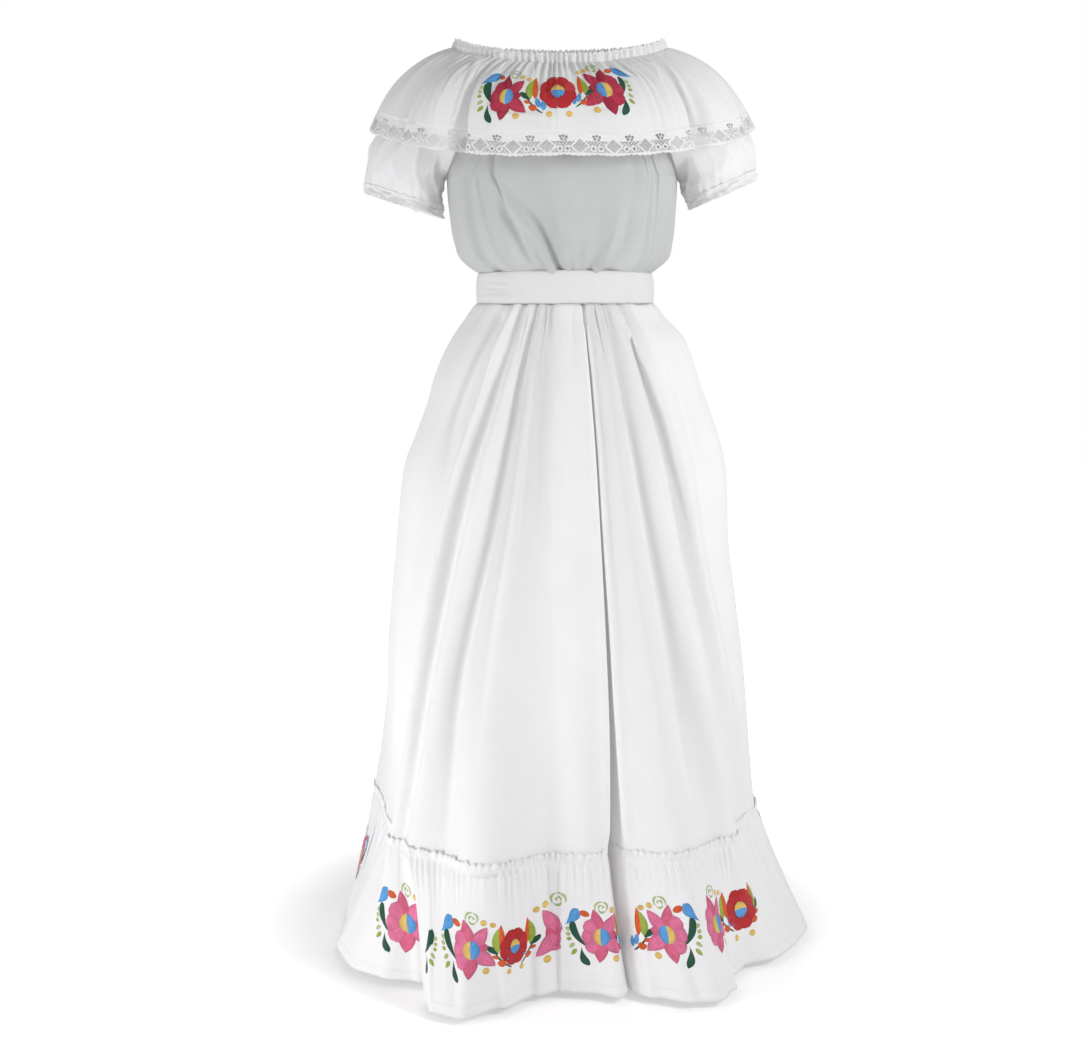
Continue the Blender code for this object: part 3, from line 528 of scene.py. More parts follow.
SKIRT_BACK_FOLDS = [
    (90.0, 90.0, 90.0, 90.0, 0, 0, 0, 0, 0.3),
    (101.0, 102.0, 103.0, 103.0, -3, -8, -12, -14, 0.0),
    (112.0, 113.0, 114.0, 115.0, 3, 7, 12, 16, 0.0),
    (123.0, 124.0, 126.0, 127.0, -3, -9, -13, -16, 0.0),
    (135.0, 136.0, 138.0, 139.0, 3, 8, 13, 17, 0.0),
    (146.0, 148.0, 150.0, 151.0, -3, -8, -14, -17, 0.0),
    (158.0, 160.0, 162.0, 163.0, 3, 9, 13, 18, 0.0),
    (171.0, 172.0, 175.0, 175.0, -3, -9, -14, -19, 0.0),
    (183.0, 184.0, 186.0, 187.0, 3, 8, 14, 18, 0.0),
    (195.0, 196.0, 198.0, 199.0, -3, -8, -13, -16, 0.0),
    (207.0, 208.0, 209.0, 211.0, 3, 9, 12, 17, 0.0),
    (219.0, 220.0, 221.0, 223.0, -3, -8, -13, -17, 0.0),
    (232.0, 232.0, 233.0, 235.0, 3, 8, 12, 13, 0.0),
    (243.0, 243.0, 243.0, 243.5, -3, -7, -6, -4, 0.0),
    (254.0, 253.0, 252.0, 251.0, 3, 6, 8, 9, 0.0),
    (270.0, 270.0, 270.0, 270.0, 0, 0, -4, -16, 0.3),
]
print(len(SKIRT_FRONT_FOLDS), "fold lines on the skirt front and", len(SKIRT_BACK_FOLDS), "on its back")

# %% [markdown]
# ## Skirt sheets
#
# The front and back are taken as separate widths of cloth joined at the sides, which is
# usual, so two sheets are made. One sheet all round would be simpler, but would have no
# side seams. Uneven ripples are added down the length, and small tucks at the waist.

# %% Skirt sheets
def skirt_surface(lines, places, down):
    """Skirt points: oval at the row's height, plus the fold depth between fold lines."""
    down = np.atleast_1d(down)
    angle, depth = fold_field(lines, SKIRT_STATIONS, down, places)
    height = (SKIRT_TOP + (SKIRT_END - SKIRT_TOP) * down)[:, None] + 0 * angle
    power = WAIST_POWER + (SEAM_POWER - WAIST_POWER) * down[:, None]
    return around(angle, table_oval(angle, height, SKIRT_OVALS, power) + depth, height)


# Rows down the skirt are closer near the waist, where the tucks are.
SKIRT_DOWN = np.concatenate([np.linspace(0, 0.12, 20)[:-1], np.linspace(0.12, 1, 46)])


def make_skirt(lines, columns, seed):
    """One half of the skirt as cloth, with fine uneven ripples that fade at the waist."""
    places = even_places(lambda p: skirt_surface(lines, p, 1.0)[0], lines, columns)
    cloth = Cloth(skirt_surface(lines, places, SKIRT_DOWN), row=1.0)
    fold_u = np.interp(np.arange(len(lines)), places, cloth.u)
    u, v = np.meshgrid(cloth.u, cloth.v)
    share = v / cloth.v[-1]
    fine = noise_line(u + 0.03 * np.sin(v * 5), 0.031, seed) * 1.1 * share
    tucks = noise_line(u, 0.0125, seed + 5) * 1.5 * np.exp(-((share - 0.03) / 0.035) ** 2)
    long_wave = noise_line(v + u * 0.6, 0.16, seed + 9) * 1.0 * share * (1 - share) * 4
    tuck = -2.2 * np.exp(-(v / 0.0028) ** 2)
    return cloth.raised((fine + tucks + long_wave + tuck) * MM), fold_u


skirt_front, front_fold_u = make_skirt(SKIRT_FRONT_FOLDS, columns=400, seed=11)
skirt_back = make_skirt(SKIRT_BACK_FOLDS, columns=170, seed=23)[0]
say_size("skirt front", skirt_front)
say_size("skirt back", skirt_back)

# %% [markdown]
# ## Skirt creases
#
# On top of the pleats lie the creases of the worn skirt: edges of laid pleats at the
# waist, long soft ridges between them, and the lips and bottom of the one deep fold.
# They are listed one by one because even ripples alone look like a machine's.

# %% Skirt creases
SKIRT_WALL = 0.0008
slot_left, slot, slot_right = front_fold_u[11:14]
SKIRT_LINES = [
    ("crease", [(slot_left, 0.03), (slot_left, 0.30), (slot_left, 0.745)], 0.0085, [1.5, 4.5, 5.0]),
    ("crease", [(slot_right, 0.03), (slot_right, 0.30), (slot_right, 0.745)], 0.0085, [1.5, 4.0, 4.5]),
    ("crease", [(slot, 0.03), (slot, 0.30), (slot, 0.745)], 0.0060, [-3.0, -5.0, -5.0]),
    ("crease", [(0.147, 0.012), (0.137, 0.098), (0.134, 0.152), (0.148, 0.250)], 0.0060,
     [-3.8, -6.0, -4.5, -0.8]),
    ("lap_left", [(0.199, 0.004), (0.196, 0.062), (0.190, 0.130)], 0.022, [3.0, 5.2, 0.8]),
    ("crease", [(0.217, 0.070), (0.214, 0.216), (0.213, 0.435), (0.211, 0.745)], 0.0075,
     [-1.5, -4.5, -3.8, -2.2]),
    ("crease", [(0.250, 0.100), (0.252, 0.300), (0.262, 0.600)], 0.0110, [0.8, 3.8, 1.5]),
    ("crease", [(0.283, 0.090), (0.286, 0.260), (0.289, 0.505), (0.305, 0.740)], 0.0100,
     [-1.5, -3.8, -3.8, -2.2]),
    ("lap_right", [(0.345, 0.020), (0.350, 0.110), (0.352, 0.200)], 0.020, [3.0, 3.0, 0.4]),
    ("crease", [(0.384, 0.080), (0.390, 0.189), (0.382, 0.496), (0.354, 0.740)], 0.0140,
     [1.5, 3.8, 3.8, 1.5]),
    ("crease", [(0.446, 0.010), (0.444, 0.060), (0.440, 0.140)], 0.0040, [-2.2, -3.0, -0.4]),
    ("crease", [(0.540, 0.004), (0.538, 0.060), (0.535, 0.120)], 0.0045, [-2.2, -2.2, -0.3]),
    ("lap_right", [(0.620, 0.004), (0.628, 0.050), (0.640, 0.110)], 0.016, [2.4, 2.4, 0.3]),
    ("crease", [(0.775, 0.060), (0.786, 0.200), (0.792, 0.435), (0.756, 0.745)], 0.0110,
     [-1.5, -3.8, -4.5, -3.0]),
    ("lap_right", [(0.830, 0.010), (0.868, 0.060), (0.887, 0.134), (0.888, 0.233), (0.893, 0.330)], 0.024,
     [3.8, 7.5, 6.8, 3.8, 0.8]),
    ("crease", [(0.825, 0.230), (0.845, 0.400), (0.835, 0.520), (0.874, 0.640)], 0.0130,
     [1.2, 3.8, 3.0, 1.2]),
    ("crease", [(0.933, 0.070), (0.938, 0.198), (0.937, 0.269), (0.943, 0.370)], 0.0080,
     [-1.5, -3.8, -3.0, -0.8]),
    ("crease", [(0.106, 0.380), (0.140, 0.487), (0.199, 0.545)], 0.0050, [-0.8, -2.4, -0.8]),
    ("crease", [(0.093, 0.004), (0.096, 0.060)], 0.0035, [-2.4, -1.2]),
    ("crease", [(0.255, 0.004), (0.260, 0.050), (0.268, 0.100)], 0.0040, [-2.7, -2.4, -0.4]),
    ("crease", [(0.700, 0.004), (0.706, 0.050), (0.715, 0.110)], 0.0045, [-2.7, -2.1, -0.4]),
    ("crease", [(0.965, 0.010), (0.970, 0.080), (0.975, 0.180)], 0.0060, [-1.8, -2.4, -0.6]),
]
skirt_front = skirt_front.raised(fold_lines(skirt_front, SKIRT_LINES))
skirt_front_piece = sheet_mesh("skirt_front_cloth", skirt_front, WHITE, SKIRT_WALL)
skirt_back_piece = sheet_mesh("skirt_back_cloth", skirt_back, WHITE, SKIRT_WALL)
print("the deep fold lies", slot, "m across, between", slot_left, "and", slot_right)

# %% [markdown]
# ## Ruffle sizes
#
# The hem ruffle is a longer strip gathered on to the skirt, with its upper edge left as
# a small frill above the stitches. At the seam it follows the skirt, and at the hem it
# swings out in large waves. One even wave would be quicker, but the real hem swings
# unevenly, so the tables give each wave its own place and reach, front and back.

# %% Ruffle sizes
RUFFLE_SEAM, RUFFLE_HEM = -0.7450, -0.9120
# Angle on the seam, angle on the hem, hem radius.
RUFFLE_FRONT_HEM = [
    (-90.0, -86.0, 0.3180), (-76.0, -79.0, 0.3220), (-64.0, -66.0, 0.3440),
    (-56.0, -55.0, 0.3520), (-51.0, -46.0, 0.3420), (-47.0, -38.5, 0.3200),
    (-43.5, -33.0, 0.3020), (-40.5, -29.5, 0.3680), (-36.0, -26.0, 0.3900),
    (-26.0, -20.0, 0.3940), (-17.6, -14.0, 0.3470), (-9.7, -8.0, 0.3020),
    (-3.0, -2.0, 0.2840), (5.0, 7.0, 0.2920), (11.5, 13.2, 0.3120),
    (13.6, 15.9, 0.3000), (15.2, 16.4, 0.2640), (17.0, 17.0, 0.3020),
    (20.0, 20.5, 0.3250), (28.0, 28.0, 0.3620), (33.0, 32.5, 0.3720),
    (38.0, 38.0, 0.3560), (44.0, 45.0, 0.3200), (50.0, 51.5, 0.3120),
    (58.0, 61.0, 0.3360), (68.0, 71.0, 0.3440), (80.0, 81.0, 0.3520),
    (90.0, 89.0, 0.3500),
]
RUFFLE_BACK_HEM = [
    (90.0, 89.0, 0.3500), (103.0, 103.0, 0.3280), (115.0, 116.0, 0.3560),
    (127.0, 128.0, 0.3300), (139.0, 140.0, 0.3600), (151.0, 152.0, 0.3340),
    (163.0, 164.0, 0.3640), (175.0, 176.0, 0.3360), (187.0, 188.0, 0.3640),
    (199.0, 200.0, 0.3360), (211.0, 212.0, 0.3600), (223.0, 224.0, 0.3340),
    (235.0, 236.0, 0.3560), (245.0, 246.0, 0.3300), (254.0, 256.0, 0.3260),
    (270.0, 274.0, 0.3180),
]
# Share of the way down, millimetres the gathers stand out.
RUFFLE_GATHER_DEPTH = [
    (-0.066, 1.5), (-0.034, 3.0), (0.0, 0.9), (0.06, 4.2), (0.18, 4.6), (0.4, 3.8), (0.7, 2.4), (1.0, 1.2),
]
DEEP_FOLD, DEEP_FOLD_REACH = 15.2, 4.0
hem_radii = [row[2] for row in RUFFLE_FRONT_HEM]
print("the hem's radius goes from", min(hem_radii), "to", max(hem_radii), "m")

# %% [markdown]
# ## Ruffle sheets
#
# The gathers start sharp at the stitches and die out at uneven lengths, each passing
# into the soft waves of the hem. A displacement could ripple a plain strip, but it
# could not fold the frill and the hem differently. So each row of the grid is the seam
# line moved out by its own gathers, then eased into the hem line.

# %% Ruffle sheets
def offset_line(line, distance):
    """A plane line moved out along its own corners."""
    edges = np.diff(line, axis=0)
    normals = np.stack([edges[:, 1], -edges[:, 0]], axis=1)
    normals /= np.linalg.norm(normals, axis=1)[:, None]
    before, after = np.vstack([normals[:1], normals]), np.vstack([normals, normals[-1:]])
    both = before + after
    return line + both / np.linalg.norm(both, axis=1)[:, None] * np.asarray(distance)[:, None]


def make_ruffle(lines, hem_lines, columns, seed):
    """One half of the ruffle: seam line moved out by the gathers, eased into the hem line."""
    fine = np.linspace(0, len(lines) - 1, 1601)
    seam = skirt_surface(lines, fine, 0.99)[0][:, :2]
    run = np.append(0, np.cumsum(np.linalg.norm(np.diff(seam, axis=0), axis=1)))
    at = np.linspace(0, run[-1], columns)
    line = np.stack([np.interp(at, run, seam[:, k]) for k in (0, 1)], axis=1)
    angle = np.degrees(np.unwrap(np.arctan2(line[:, 0], -line[:, 1])))
    table = np.array(hem_lines)
    if table[:, 0].mean() > 90 and angle.mean() < 0:
        angle = angle + 360
    place = np.interp(angle, table[:, 0], np.arange(len(table)))
    hem_radius = along_lines(table[:, 2], place, np.zeros(len(table)))
    hem = around(np.interp(angle, table[:, 0], table[:, 1]), hem_radius, RUFFLE_HEM)[:, :2]
    full = np.clip(np.abs(angle - DEEP_FOLD) / DEEP_FOLD_REACH, 0, 1) ** 2
    beat = at + 0.0022 * noise_line(at, 0.021, seed)
    gather = 0.5 + 0.5 * np.sin(2 * np.pi * beat / 0.0098)
    gather = gather * (0.75 + 0.35 * noise_line(at, 0.019, seed + 1))
    frill = 0.5 + 0.5 * np.sin(2 * np.pi * (beat + 0.002) / 0.0090 + 2.2 * noise_line(at, 0.012, seed + 2))
    frill = frill * (0.7 + 0.5 * noise_line(at, 0.008, seed + 5)) + 0.22 * noise_line(at, 0.0045, seed + 6)
    soft = 0.5 + 0.34 * noise_line(at, 0.0155, seed + 3) + 0.30 * noise_line(at, 0.034, seed + 7)
    reach = 0.34 + 0.24 * noise_line(at, 0.013, seed + 4)
    depths = np.array(RUFFLE_GATHER_DEPTH)
    shares = np.concatenate([[-0.066, -0.05, -0.034, -0.017, 0.0], np.linspace(0, 1, 40)[1:] ** 1.25])
    rows = []
    for share in shares:
        deep = smooth(share, depths[:, 0], depths[:, 1]) * MM * full
        mix = np.clip(share / reach, 0, 1) ** 0.8
        wave = frill if share < 0 else gather * (1 - mix) + soft * mix * 1.4
        top = offset_line(line, 0.0003 + deep * wave)
        spread = np.clip(share, 0, 1) ** 1.15
        height = RUFFLE_SEAM + share * (RUFFLE_HEM - RUFFLE_SEAM)
        lift = 0.0054 * (frill - 0.45) * np.clip(-share / 0.066, 0, 1)
        rows.append(np.column_stack([top * (1 - spread) + hem * spread, height + lift + 0 * at]))
    return Cloth(np.array(rows), row=0.6)


ruffle_front = make_ruffle(SKIRT_FRONT_FOLDS, RUFFLE_FRONT_HEM, columns=620, seed=31)
ruffle_back = make_ruffle(SKIRT_BACK_FOLDS, RUFFLE_BACK_HEM, columns=340, seed=47)
say_size("ruffle front", ruffle_front)
say_size("ruffle back", ruffle_back)

# %% [markdown]
# ## Ruffle creases
#
# A few larger folds run from the seam to the hem between the flowers, and the hem has
# one row of stitches. The folds could go into the hem table, but they would then reach
# further out at the hem and change its outline. The stitch line is part of the
# material, because a hem stitch is finer than the grid.

# %% Ruffle creases
HEM_TURNING = 0.013
RUFFLE_LINES = [
    ("lap_right", [(0.523, 0.012), (0.522, 0.064), (0.520, 0.117), (0.519, 0.200)], 0.018,
     [3.0, 5.0, 5.0, 4.0]),
    ("crease", [(0.505, 0.012), (0.506, 0.060), (0.507, 0.150)], 0.0060, [-2.0, -3.0, -1.0]),
    ("lap_left", [(0.327, 0.012), (0.327, 0.096), (0.325, 0.200)], 0.012, [1.5, 2.5, 2.0]),
    ("crease", [(0.398, 0.012), (0.403, 0.060)], 0.0030, [-2.0, -0.8]),
    ("crease", [(0.449, 0.020), (0.451, 0.050), (0.452, 0.100)], 0.0040, [1.0, 3.0, 1.0]),
    ("crease", [(0.563, 0.014), (0.567, 0.075)], 0.0030, [-2.5, -0.6]),
    ("crease", [(0.620, 0.014), (0.628, 0.090)], 0.0050, [2.0, 0.8]),
    ("crease", [(0.700, 0.014), (0.705, 0.085)], 0.0040, [-2.2, -0.5]),
    ("crease", [(0.770, 0.014), (0.774, 0.060), (0.779, 0.130)], 0.0050, [-2.0, -2.5, -0.8]),
    ("crease", [(0.845, 0.014), (0.850, 0.080)], 0.0040, [-2.0, -0.6]),
    ("crease", [(0.270, 0.014), (0.266, 0.070)], 0.0040, [-2.4, -0.8]),
    ("crease", [(0.210, 0.014), (0.205, 0.100), (0.206, 0.170)], 0.0060, [-1.5, -2.5, -1.0]),
    ("crease", [(0.368, 0.040), (0.364, 0.110), (0.360, 0.200)], 0.0100, [-1.0, -2.4, -4.0]),
    ("crease", [(0.425, 0.030), (0.431, 0.110), (0.434, 0.200)], 0.0120, [0.8, 2.4, 4.0]),
    ("crease", [(0.478, 0.040), (0.480, 0.120), (0.479, 0.200)], 0.0090, [-1.0, -2.8, -4.5]),
    ("crease", [(0.604, 0.030), (0.608, 0.120), (0.607, 0.200)], 0.0100, [-0.8, -2.2, -4.0]),
    ("crease", [(0.742, 0.040), (0.748, 0.120), (0.752, 0.200)], 0.0110, [-0.8, -2.4, -4.0]),
]
ruffle_front = ruffle_front.raised(fold_lines(ruffle_front, RUFFLE_LINES))
RUFFLE = cotton(
    "ruffle_cotton", (0.84, 0.835, 0.84), (0.80, 0.795, 0.80), slub=0.8, painted_glow=0.08, pucker=6.0, reach=0.075,
    hem=ruffle_front.v[-1] - HEM_TURNING,
)
ruffle_front_piece = sheet_mesh("ruffle_front_cloth", ruffle_front, RUFFLE, SKIRT_WALL)
ruffle_back_piece = sheet_mesh("ruffle_back_cloth", ruffle_back, RUFFLE, SKIRT_WALL)
print("the hem stitches run", ruffle_front.v[-1] - HEM_TURNING, "m below the frill's edge")

# %% [markdown]
# ## Waistband
#
# The waistband is a folded strip, firmer than the rest, with a few slanting wrinkles
# near its ends. A plain cylinder would look like card, so the strip is a little fuller
# at its middle, rolls in at its upper edge and rises at the front.

# %% Waistband
BAND_BOTTOM, BAND_TOP, BAND_RISE = -0.0205, 0.0175, 0.0050
BAND_HALF_WIDTH, BAND_HALF_DEPTH = 0.1228, 0.0968
BAND_LAP, BAND_WALL = 0.0018, 0.0010


def make_band(first, last):
    """Half of the waistband: an oval strip, fuller in the middle of its height."""
    angle = np.linspace(first, last, 131)
    share = np.linspace(0, 1, 17)[::-1, None]
    top = BAND_TOP + BAND_RISE * np.cos(np.radians(angle))
    lean = 0.0008 * 4 * share * (1 - share) - 0.0022 * share**6
    sizes = (BAND_HALF_WIDTH, BAND_HALF_WIDTH, BAND_HALF_DEPTH, BAND_HALF_DEPTH)
    radius = oval(angle, *sizes, WAIST_POWER) + lean
    return Cloth(around(angle, radius, BAND_BOTTOM - BAND_LAP + (top - BAND_BOTTOM + BAND_LAP) * share))


band_front, band_back = make_band(-90, 90), make_band(90, 270)
band_front = band_front.raised(creases(band_front, [
    (0.045, 0.012, 0.105, 0.017, 0.001, -1.5, 0.0022),
    (0.040, 0.020, 0.112, 0.024, -0.001, -1.8, 0.0022),
    (0.050, 0.029, 0.120, 0.031, 0.001, -1.3, 0.0020),
    (0.042, 0.035, 0.100, 0.034, 0.000, 1.0, 0.0020),
    (0.250, 0.030, 0.330, 0.022, 0.001, -1.0, 0.0024),
]))
band_front_piece = sheet_mesh("waistband_front_cloth", band_front, BAND, BAND_WALL)
band_back_piece = sheet_mesh("waistband_back_cloth", band_back, BAND, BAND_WALL)
say_size("waistband front", band_front)

# %% [markdown]
# ## Bodice sizes
#
# The blouse body is sheer, tucked into the band and full just above it. Its folds are
# sharp at the waist and fan out towards the chest. A plain tube could stand in for it,
# but the folds are what shows below the flounce. Only the part outside the skirt is
# made, because the rest can't be seen.

# %% Bodice sizes
# Level, half width to the left and right, half depth to the front and back.
BODICE_OVALS = [
    (-0.0040, 0.1185, 0.1185, 0.0925, 0.0925),
    (0.0180, 0.1188, 0.1188, 0.0928, 0.0928),
    (0.0245, 0.1290, 0.1275, 0.1000, 0.0980),
    (0.0370, 0.1430, 0.1400, 0.1080, 0.1020),
    (0.0620, 0.1540, 0.1480, 0.1140, 0.1060),
    (0.0990, 0.1600, 0.1520, 0.1170, 0.1080),
    (0.1330, 0.1630, 0.1540, 0.1180, 0.1090),
    (0.1670, 0.1630, 0.1540, 0.1170, 0.1090),
    (0.2200, 0.1590, 0.1500, 0.1140, 0.1070),
    (0.2700, 0.1520, 0.1390, 0.1090, 0.1030),
    (0.3300, 0.1465, 0.1305, 0.1030, 0.0980),
]
BODICE_POWER, CHEST = 2.4, 0.1490
# Angle at the waist and chest, millimetres out at the waist and chest, sharpness.
BODICE_FRONT_FOLDS = [
    (-90.0, -90.0, 0, 0, 0.3),
    (-74.0, -76.0, -3, 0, 0.0),
    (-60.0, -66.0, 4, 1, 0.0),
    (-44.0, -56.0, -4, -3, 0.0),
    (-28.0, -48.0, 3, 1, 0.0),
    (-19.0, -44.0, -3, -3, 0.2),
    (-13.5, -40.0, 5, 4, 0.6),
    (-4.0, -28.0, -3, -3, 0.0),
    (6.0, -8.0, 4, 4, 0.0),
    (14.0, 12.0, -3, -2, 0.0),
    (24.0, 36.0, 4, 2, 0.3),
    (33.0, 42.0, -2, -1, 0.0),
    (45.0, 47.0, 2, 2, 0.4),
    (49.0, 49.7, 0, 0, 0.3),
    (53.0, 52.4, 2, 2, 0.4),
    (57.0, 56.0, -1, -1, 0.3),
    (62.0, 59.7, 2, 2, 0.4),
    (72.0, 70.0, -3, 0, 0.0),
    (81.0, 80.0, 2, 0, 0.0),
    (90.0, 90.0, 0, 0, 0.3),
]
BODICE_BACK_FOLDS = [
    (90.0, 90.0, 0, 0, 0.3),
    (104.0, 103.0, -3, 0, 0.0),
    (118.0, 117.0, 4, 1, 0.0),
    (133.0, 132.0, -4, -3, 0.0),
    (148.0, 147.0, 4, 3, 0.0),
    (164.0, 163.0, -4, -2, 0.0),
    (180.0, 180.0, 4, 3, 0.0),
    (196.0, 197.0, -4, -3, 0.0),
    (211.0, 212.0, 4, 2, 0.0),
    (227.0, 228.0, -3, -3, 0.0),
    (243.0, 243.0, 4, 1, 0.0),
    (257.0, 257.0, -3, 0, 0.0),
    (270.0, 270.0, 0, 0, 0.3),
]
print("the blouse is", 2 * max(row[1] for row in BODICE_OVALS), "m wide at its fullest")

# %% [markdown]
# ## Neckline and armholes
#
# The neckline is an oval that rises towards the shoulders, and each armhole is a
# rounded arch cut out of the side. Both could be cut with Boolean tools. Giving them as
# formulas lets the bodice, sleeves and flounce meet on the same lines.

# %% Neckline and armholes
NECK_CENTRE_X, NECK_WIDTH, NECK_FRONT, NECK_BACK, NECK_POWER = -0.0080, 0.1400, 0.1050, 0.1000, 2.5
# Angle from the centre front or back, height.
NECK_HEIGHT = [
    (0, 0.3050), (30, 0.3080), (45, 0.3140), (60, 0.3220), (78, 0.3340),
    (95, 0.3390), (130, 0.3370), (180, 0.3350),
]
BODICE_END, NECK_INSIDE = -0.0125, 0.0020
ARMHOLE_MIDDLE, ARMHOLE_HALF, ARMHOLE_DEPTH = 0.2250, 0.0760, 0.0800
ARMHOLE_TOP_POWER, ARMHOLE_LOW_POWER, ARMHOLE_LAP = 4.0, 2.2, 0.0017


def armhole_depth(height):
    """Half depth of the armhole at a height, nothing above or below it."""
    away = (height - ARMHOLE_MIDDLE) / ARMHOLE_HALF
    power = np.where(away > 0, ARMHOLE_TOP_POWER, ARMHOLE_LOW_POWER)
    return ARMHOLE_DEPTH * np.clip(1 - np.abs(away) ** power, 0, 1) ** (1 / power)


def neck_height(angle):
    """Height of the top of the neckline at an angle."""
    table = np.array(NECK_HEIGHT)
    return smooth(np.abs((np.asarray(angle) + 180) % 360 - 180), table[:, 0], table[:, 1])


def neck_radius(angle):
    """Radius of the neckline oval."""
    return oval(angle, NECK_WIDTH, NECK_WIDTH, NECK_FRONT, NECK_BACK, NECK_POWER)


def bodice_radius(angle, height):
    """Radius of the blouse body before its folds."""
    return table_oval(angle, height, BODICE_OVALS, BODICE_POWER)


print("the neckline is", neck_height(0.0), "m up at the front and", neck_height(90.0), "m at the shoulder")

# %% [markdown]
# ## Bodice sheets
#
# Below the chest each row of the sheet is a folded oval. Above it the columns bend
# round the armhole and the rows narrow to the neckline. This keeps the grid in one
# piece, where joining a yoke to a body would show a seam that isn't there.

# %% Bodice sheets
def make_bodice(lines, columns, middle, seed):
    """Half of the blouse body: folded ovals up to the armholes, then narrowed to the neckline."""
    places = np.linspace(0, len(lines) - 1, columns)
    low = np.concatenate([np.linspace(-0.004, 0.045, 18)[:-1], np.linspace(0.045, CHEST, 22)[:-1]])
    down = np.clip((low + 0.004) / (CHEST + 0.004), 0, 1)
    angle, depth = fold_field(lines, [0.0, 1.0], down, places)
    held = np.clip((low - 0.018) / 0.019, 0.12, 1)[:, None]
    fade = np.exp(-((low - 0.034) / 0.016) ** 2)[:, None]
    gathers = noise_line(angle * 0.0021, 0.0085, seed) * 1.6 * MM * fade
    radius = bodice_radius(angle, low[:, None] + 0 * angle) + (depth + gathers) * held
    rise = BAND_RISE * np.cos(np.radians(angle)) * (1 - down[:, None])
    low_part = around(angle, radius, low[:, None] + rise)
    up = np.linspace(0, 1, 34)[:, None] ** 1.25
    chest_angle, chest_depth = fold_field(lines, [0.0, 1.0], np.array([1.0]), places)
    angle = chest_angle + 0 * up
    for _ in range(6):
        height = CHEST + (neck_height(angle[-1]) + BODICE_END - CHEST) * up
        opening = armhole_depth(height) + 0.001 * (up > 0)
        half = np.degrees(np.arctan2(bodice_radius(90.0, height), opening))
        away = chest_angle - middle
        beyond = np.clip((np.abs(away) - 32) / 58, 0, 1)
        angle = middle + away - np.sign(away) * (90 - half) * beyond ** (1.8 + 1.1 * np.exp(-up / 0.12))
    inner = neck_radius(angle) - NECK_INSIDE
    ease = up * up * (3 - 2 * up)
    radius = bodice_radius(angle, height) * (1 - ease) + inner * ease + chest_depth * (1 - 0.9 * up)
    cloth = Cloth(np.vstack([low_part, around(angle, radius, height, NECK_CENTRE_X * up)])[::-1], row=0.5)
    down = np.linalg.norm(np.diff(cloth.points[:, columns // 2], axis=0), axis=1)
    cloth.v = np.append(0, np.cumsum(down))
    return cloth


bodice_front = make_bodice(BODICE_FRONT_FOLDS, columns=210, middle=0.0, seed=51)
bodice_back = make_bodice(BODICE_BACK_FOLDS, columns=100, middle=180.0, seed=57)
say_size("bodice front", bodice_front)
say_size("bodice back", bodice_back)

# %% [markdown]
# ## Bodice creases
#
# Thin cotton that is tucked in hangs in long diagonal drags from the chest to the
# waist. They are listed one by one like the skirt's, wider and softer in the middle and
# narrow at the right side, where the cloth is drawn tight.

# %% Bodice creases
SHEER_WALL = 0.0006
BODICE_LINES = [
    ("crease", [(0.128, 0.120), (0.134, 0.175), (0.161, 0.235), (0.168, 0.289), (0.172, 0.335)], 0.0085,
     [1.4, 3.6, 5.8, 6.0, 4.0]),
    ("crease", [(0.148, 0.150), (0.172, 0.215), (0.186, 0.270), (0.192, 0.335)], 0.0090,
     [-1.4, -3.8, -5.0, -4.2]),
    ("crease", [(0.322, 0.180), (0.317, 0.227), (0.305, 0.282), (0.300, 0.335)], 0.0080,
     [1.4, 3.4, 5.2, 4.4]),
    ("crease", [(0.330, 0.190), (0.330, 0.250), (0.322, 0.335)], 0.0080, [-1.2, -3.2, -3.6]),
    ("crease", [(0.353, 0.110), (0.347, 0.245), (0.356, 0.320)], 0.0028, [2.2, 2.8, 1.4]),
    ("crease", [(0.374, 0.110), (0.368, 0.245), (0.374, 0.320)], 0.0026, [2.0, 2.6, 1.2]),
    ("crease", [(0.392, 0.110), (0.389, 0.245), (0.400, 0.320)], 0.0032, [2.0, 2.8, 1.4]),
    ("crease", [(0.092, 0.130), (0.086, 0.212), (0.083, 0.282), (0.079, 0.335)], 0.0070,
     [-1.0, -3.2, -5.0, -3.8]),
    ("crease", [(0.105, 0.120), (0.101, 0.200), (0.103, 0.300)], 0.0045, [1.4, 3.4, 2.0]),
    ("crease", [(0.225, 0.262), (0.228, 0.335)], 0.0060, [-0.8, -2.6]),
    ("crease", [(0.262, 0.255), (0.262, 0.335)], 0.0070, [0.6, 2.6]),
    ("crease", [(0.118, 0.265), (0.124, 0.335)], 0.0045, [0.6, 2.4]),
    ("crease", [(0.410, 0.240), (0.420, 0.335)], 0.0060, [-0.6, -2.4]),
    ("crease", [(0.246, 0.120), (0.243, 0.200), (0.236, 0.300)], 0.0150, [1.0, 2.8, 1.0]),
    ("crease", [(0.282, 0.160), (0.286, 0.230), (0.284, 0.320)], 0.0120, [-0.8, -2.6, -1.4]),
    ("crease", [(0.208, 0.170), (0.213, 0.240), (0.212, 0.320)], 0.0080, [0.8, 2.2, 1.0]),
]
bodice_front = bodice_front.raised(fold_lines(bodice_front, BODICE_LINES))
bodice_front_piece = sheet_mesh("bodice_front_cloth", bodice_front, SHEER, SHEER_WALL)
bodice_back_piece = sheet_mesh("bodice_back_cloth", bodice_back, SHEER, SHEER_WALL)
crease_range = np.ptp(fold_lines(bodice_front, BODICE_LINES)) / MM
print(len(BODICE_LINES), "creases on the bodice front,", crease_range, "mm from lowest to highest")

# %% [markdown]
# ## Sleeve sizes
#
# A puff sleeve is a tube from the armhole to an elastic cuff, and the cuff frills out
# again below the elastic. Whole rings could be placed in space one by one. Here each
# section is an upper and a lower point in the front plane and a depth, because those
# are easy to judge from the front.

